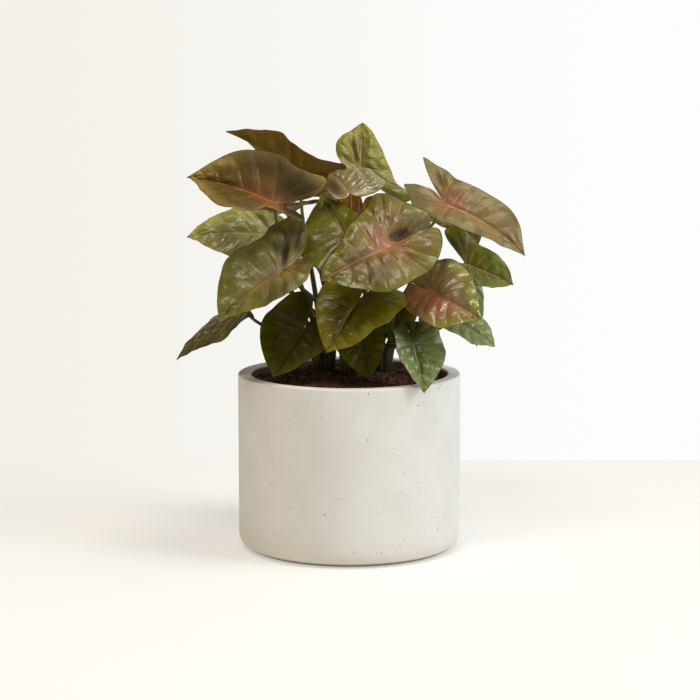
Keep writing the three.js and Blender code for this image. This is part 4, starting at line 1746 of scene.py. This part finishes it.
@dataclass(frozen=True)
class Litter:
    """One kind of loose bit that lies on the mix: thin curved fibres, or crumbs.

    density is bits per square metre, and smallest and largest are what a bit's shape is
    scaled by. waves is the scale of the noise that shakes the bits out of shape, and push
    how far it moves them, in metres.
    """

    name: str
    fibres: bool
    density: float
    smallest: float
    largest: float
    waves: float
    push: float

    FIBRE_RADIUS = 0.22 * MM
    FIBRE_TILT = 0.22
    CRUMB_RADIUS = 1.0 * MM

    def bit(self, sheet: NodeSheet) -> bpy.types.NodeSocket:
        """One bit's shape.

        Args:
            sheet: the tree that the shape's nodes go into.

        Returns:
            The shape's socket.
        """
        if not self.fibres:
            return sheet.node(
                "GeometryNodeMeshIcoSphere", None,
                {"Radius": self.CRUMB_RADIUS, "Subdivisions": 1}).outputs[0]
        start, middle, end = (-5.0, 0.0, 0.0), (0.0, 2.2, 0.8), (5.0, -0.6, 0.3)
        line = sheet.node(
            "GeometryNodeCurveQuadraticBezier", None,
            {"Resolution": 6, "Start": [v * MM for v in start],
             "Middle": [v * MM for v in middle], "End": [v * MM for v in end]})
        section = sheet.node(
            "GeometryNodeCurvePrimitiveCircle", None,
            {"Resolution": 4, "Radius": self.FIBRE_RADIUS})
        return sheet.node(
            "GeometryNodeCurveToMesh", None,
            {"Curve": line.outputs[0], "Profile Curve": section.outputs[0],
             "Fill Caps": True}).outputs[0]

    def turns(self) -> tuple[Triple, Triple]:
        """How a bit may lie: a fibre nearly flat, a crumb any way round.

        Returns:
            The least and the greatest turn about each axis, in radians.
        """
        whole, tilt = 2 * math.pi, self.FIBRE_TILT
        if self.fibres:
            return (-tilt, -tilt, 0.0), (tilt, tilt, whole)
        return (0.0, 0.0, 0.0), (whole, whole, whole)

    def sheet(self) -> NodeSheet:
        """The tree that strews the bits over a surface.

        Returns:
            The tree, with the inputs Density, Smallest, Largest, Seed and Finish.
        """
        sheet = NodeSheet(self.name)
        density = sheet.input("Density", "NodeSocketFloat", 1000.0)
        smallest = sheet.input("Smallest", "NodeSocketFloat", 0.5)
        largest = sheet.input("Largest", "NodeSocketFloat", 1.5)
        seed = sheet.input("Seed", "NodeSocketInt", SEED)
        finish = sheet.input("Finish", "NodeSocketMaterial")
        spots = sheet.node(
            "GeometryNodeDistributePointsOnFaces", None,
            {"Mesh": sheet.given.outputs["Geometry"], "Density": density, "Seed": seed})
        size = sheet.node(
            "FunctionNodeRandomValue", {"data_type": "FLOAT"},
            {2: smallest, 3: largest, "Seed": seed})
        low, high = self.turns()
        turn = sheet.node(
            "FunctionNodeRandomValue", {"data_type": "FLOAT_VECTOR"},
            {0: low, 1: high, "Seed": seed})
        strewn = sheet.node(
            "GeometryNodeInstanceOnPoints", None,
            {"Points": spots.outputs["Points"], "Instance": self.bit(sheet),
             "Rotation": turn.outputs[0], "Scale": size.outputs[1]})
        real = sheet.node("GeometryNodeRealizeInstances", None, {0: strewn.outputs[0]})
        lumps = sheet.node("ShaderNodeTexNoise", None, {"Scale": self.waves})
        centred = sheet.node(
            "ShaderNodeVectorMath", {"operation": "SUBTRACT"},
            {0: lumps.outputs[1], 1: (0.5, 0.5, 0.5)})
        push = sheet.node(
            "ShaderNodeVectorMath", {"operation": "SCALE"},
            {0: centred.outputs[0], "Scale": self.push})
        shaken = sheet.node(
            "GeometryNodeSetPosition", None,
            {"Geometry": real.outputs[0], "Offset": push.outputs[0]})
        sheet.close(shaken.outputs[0], finish)
        return sheet

    def build(
        self, corners: Array, triangles: Array, finish: bpy.types.Material,
    ) -> bpy.types.Object:
        """The bits' object.

        Args:
            corners: corners of the surface that they lie on, in millimetres.
            triangles: its corner numbers.
            finish: the bits' material.

        Returns:
            The finished piece.
        """
        surface = skin(self.name + "_surface", corners, triangles, (finish,))
        mesh = self.sheet().run(self.name, surface, {
            "Density": self.density, "Smallest": self.smallest, "Largest": self.largest,
            "Seed": SEED, "Finish": finish})
        mesh.shade_smooth()
        return link(self.name, mesh)


@dataclass
class PottingMix:
    """Mounded peat with crumbs and fibres on top.

    Sizes are in millimetres. edge_height is the top's height at the wall and crown_height
    in the middle, relief the height of the largest bumps, and WAVES their lengths. slant is
    the size of the lower edge's bevel, and wall_height where the wall's last ring lies.
    BARE_ROWS is how many rows of the top's mesh, next to the wall, carry no litter.
    """

    outer: float = 79.15
    bottom: float = 12.35
    edge_height: float = 135.5
    crown_height: float = 145.0
    relief: float = 1.3
    slant: float = 12.0
    wall_height: float = 120.0
    rows: int = 84
    sides: int = 320

    WAVES = (24.0, 13.0, 7.5, 4.5, 3.0)
    WAVES_EACH = 7
    BARE_ROWS = 4
    CRUMBS = Litter("mix_crumbs", False, 150000.0, 0.35, 1.25, 420.0, 0.0016)
    FIBRES = Litter("mix_fibres", True, 32000.0, 0.4, 1.1, 90.0, 0.004)

    def top(self, rng: np.random.Generator) -> tuple[Array, Array]:
        """The uneven top of the mix.

        Args:
            rng: source of the bumps.

        Returns:
            The corners as a grid, and the angle of each column.
        """
        share = np.linspace(1, 0, self.rows)[:, None]
        turn = np.linspace(0, 2 * math.pi, self.sides + 1)[None, :]
        radius = self.outer * share * np.ones_like(turn)
        x, y = radius * np.cos(turn), radius * np.sin(turn)
        rise = (self.crown_height - self.edge_height) * np.cos(share * math.pi / 2)
        bumps = np.zeros_like(x)
        for wave in self.WAVES:
            for _ in range(self.WAVES_EACH):
                angle, shift = rng.uniform(0, 2 * math.pi, 2)
                pull = 2 * math.pi / (wave * rng.uniform(0.8, 1.25))
                bumps += (wave / self.WAVES[0]) ** 0.75 * np.sin(
                    pull * (x * math.cos(angle) + y * math.sin(angle)) + shift)
        bumps = self.relief * bumps / np.abs(bumps).max()
        height = self.edge_height + rise + bumps * smooth(1 - share, 0.0, 0.04)
        return np.stack([x, y, height], -1), turn

    def bed(self, top: Array, turn: Array, finish: bpy.types.Material) -> bpy.types.Object:
        """The closed body of the mix.

        Args:
            top: the corners of its top, as a grid.
            turn: the angle of each column of the grid.
            finish: its material.

        Returns:
            The finished piece.
        """
        low = self.bottom + self.slant
        wall = (
            (self.outer, self.wall_height), (self.outer, low),
            (self.outer - self.slant, self.bottom), (0.0, self.bottom))
        rings = [
            np.stack([radius * np.cos(turn[0]), radius * np.sin(turn[0]),
                      np.full(turn.shape[1], height)], -1)
            for radius, height in wall]
        points = np.concatenate([np.array(rings[::-1]), top])
        points[:, -1] = points[:, 0]
        corners, kept, _, _ = weld(
            points.reshape(-1, 3), grid_triangles(points.shape[0], points.shape[1]))
        return link("mix_bed", skin("mix_bed", corners, outward(corners, kept), (finish,)))

    def build(self) -> list[bpy.types.Object]:
        """The mix's objects.

        Returns:
            The bed, the crumbs and the fibres.
        """
        top, turn = self.top(np.random.default_rng(SEED))
        pieces = [self.bed(top, turn, MixFinish().material("peat"))]
        crumbs = MixFinish(dark=(46, 30, 22), light=(104, 68, 50)).material("crumbs")
        fibre = MixFinish(dark=(70, 42, 30), light=(140, 92, 66)).material("fibre")
        inside = top[self.BARE_ROWS:]
        triangles = grid_triangles(inside.shape[0], inside.shape[1])
        for litter, finish in ((self.CRUMBS, crumbs), (self.FIBRES, fibre)):
            pieces.append(litter.build(inside.reshape(-1, 3), triangles, finish))
        return pieces


# ---- studio ------------------------------------------------------------------------------


@dataclass(frozen=True)
class SoftBox:
    """A square or oblong soft light.

    It hangs at place and faces aim, with a width and height in size, all in metres. power
    is in watts, and colour is a display colour.
    """

    name: str
    place: Triple
    aim: Triple
    size: Pair
    power: float
    colour: Triple

    def hang(self) -> None:
        """Put the light into the scene."""
        data = bpy.data.lights.new(self.name, "AREA")
        data.shape = "RECTANGLE"
        data.size, data.size_y = self.size
        data.energy = self.power
        data.color = srgb(*self.colour)[:3]
        made = bpy.data.objects.new(self.name, data)
        made.location = self.place
        facing = Vector(self.aim) - Vector(self.place)
        made.rotation_euler = facing.to_track_quat("-Z", "Y").to_euler()
        bpy.context.scene.collection.objects.link(made)


@dataclass
class Studio:
    """Camera, floor and soft light.

    camera_place is in millimetres, camera_pitch in degrees below level, and focal_pixels,
    image_width and middle in pixels of the image, middle being the column straight ahead.
    wall_distance and floor_reach are in metres. The room's light is warm on the left and
    cool on the right, and dome, overhead, window, behind and bounce are its strengths: all
    round, from above, from the right, from behind and from the left.
    """

    camera_place: Triple = (0.0, -1800.0, 420.0)
    camera_pitch: float = 8.21
    focal_pixels: float = 2248.0
    image_width: float = 700.0
    sensor: float = 36.0
    middle: float = 349.3
    wall_distance: float = 0.358
    floor_reach: float = 6.0
    wall_left: Triple = (244, 241, 234)
    wall_right: Triple = (253, 253, 252)
    warm: Triple = (255, 222, 176)
    cool: Triple = (240, 247, 255)
    dome: float = 0.08
    overhead: float = 0.13
    window: float = 0.5
    behind: float = 0.75
    bounce: float = 0.47

    BOXES = (
        SoftBox("key", (1.8, -0.8, 1.4), (0, 0, 0.2), (0.8, 0.8), 23.0, (240, 247, 255)),
        SoftBox("top", (-0.4, -0.9, 1.6), (0, 0, 0.25), (0.6, 0.45), 11.0, (255, 246, 230)),
        SoftBox("roof", (0.25, -0.2, 1.75), (0, 0, 0.25), (0.6, 0.45), 9.0, (255, 246, 230)))

    def camera(self) -> None:
        """The camera in front of the plant, a little above it."""
        data = bpy.data.cameras.new("camera")
        data.sensor_width = self.sensor
        data.lens = self.focal_pixels / self.image_width * self.sensor
        data.shift_x = (self.image_width / 2 - self.middle) / self.image_width
        data.clip_end = 100.0
        made = bpy.data.objects.new("camera", data)
        made.location = Vector(self.camera_place) * MM
        made.rotation_euler = Euler((math.radians(90 - self.camera_pitch), 0, 0))
        bpy.context.scene.collection.objects.link(made)
        bpy.context.scene.camera = made

    def sky(self) -> None:
        """The room: a plain pale wall to look at, and soft light from overhead and the right."""
        world = bpy.data.worlds.new("studio")
        bpy.context.scene.world = world
        world.use_nodes = True
        desk = Desk.on(world.node_tree)
        split = desk.node("ShaderNodeSeparateXYZ", None, {
            0: desk.node("ShaderNodeTexCoord").outputs["Generated"]})
        east, north, up = (Signal(desk, split.outputs[axis]) for axis in "XYZ")
        # Painted light: the wall that the camera sees is darker on the left and lighter on the
        # right.
        wall = desk.mix(east.step(-0.14, 0.12), srgb(*self.wall_left), srgb(*self.wall_right))
        tint = desk.mix(east.step(-0.8, 0.5), srgb(*self.warm), srgb(*self.cool))
        power = (
            self.dome + up.step(0.5, 1.0) * self.overhead + east.step(-0.3, 0.9) * self.window
            + north.step(0.0, 0.8) * up.step(0.2, 0.6, 1.0, 0.0) * self.behind
            + east.step(-0.99, -0.8, 1.0, 0.0) * self.bounce)
        seen = desk.node("ShaderNodeBackground", None, {"Color": wall, "Strength": 1.0})
        lit = desk.node("ShaderNodeBackground", None, {"Color": tint, "Strength": power})
        both = desk.node("ShaderNodeMixShader", None, {
            0: desk.node("ShaderNodeLightPath").outputs["Is Camera Ray"],
            1: lit.outputs[0], 2: seen.outputs[0]})
        desk.node("ShaderNodeOutputWorld", None, {"Surface": both.outputs[0]})

    def floor(self) -> None:
        """The pale floor, which ends at the wall."""
        mesh = bpy.data.meshes.new("floor")
        reach, back = self.floor_reach, self.wall_distance
        corners = [(-reach, -reach, 0), (reach, -reach, 0), (reach, back, 0), (-reach, back, 0)]
        mesh.from_pydata(corners, [], [(0, 1, 2, 3)])
        mesh.materials.append(FloorFinish().material("floor"))
        link("floor", mesh)

    def build(self) -> None:
        """Set up the whole studio."""
        bpy.context.scene.view_settings.view_transform = "Standard"
        self.camera()
        self.sky()
        self.floor()
        for box in self.BOXES:
            box.hang()


def main() -> None:
    """Build the studio and every piece."""
    logging.basicConfig(level=logging.INFO, format="%(name)s %(message)s")
    Studio().build()
    hand_over(Pot().build(), "pot", "pot")
    for piece in PottingMix().build():
        hand_over(piece, "potting_mix", "potting_mix")
    Plant().build()
    bpy.context.view_layer.update()


if __name__ == "__main__":
    main()
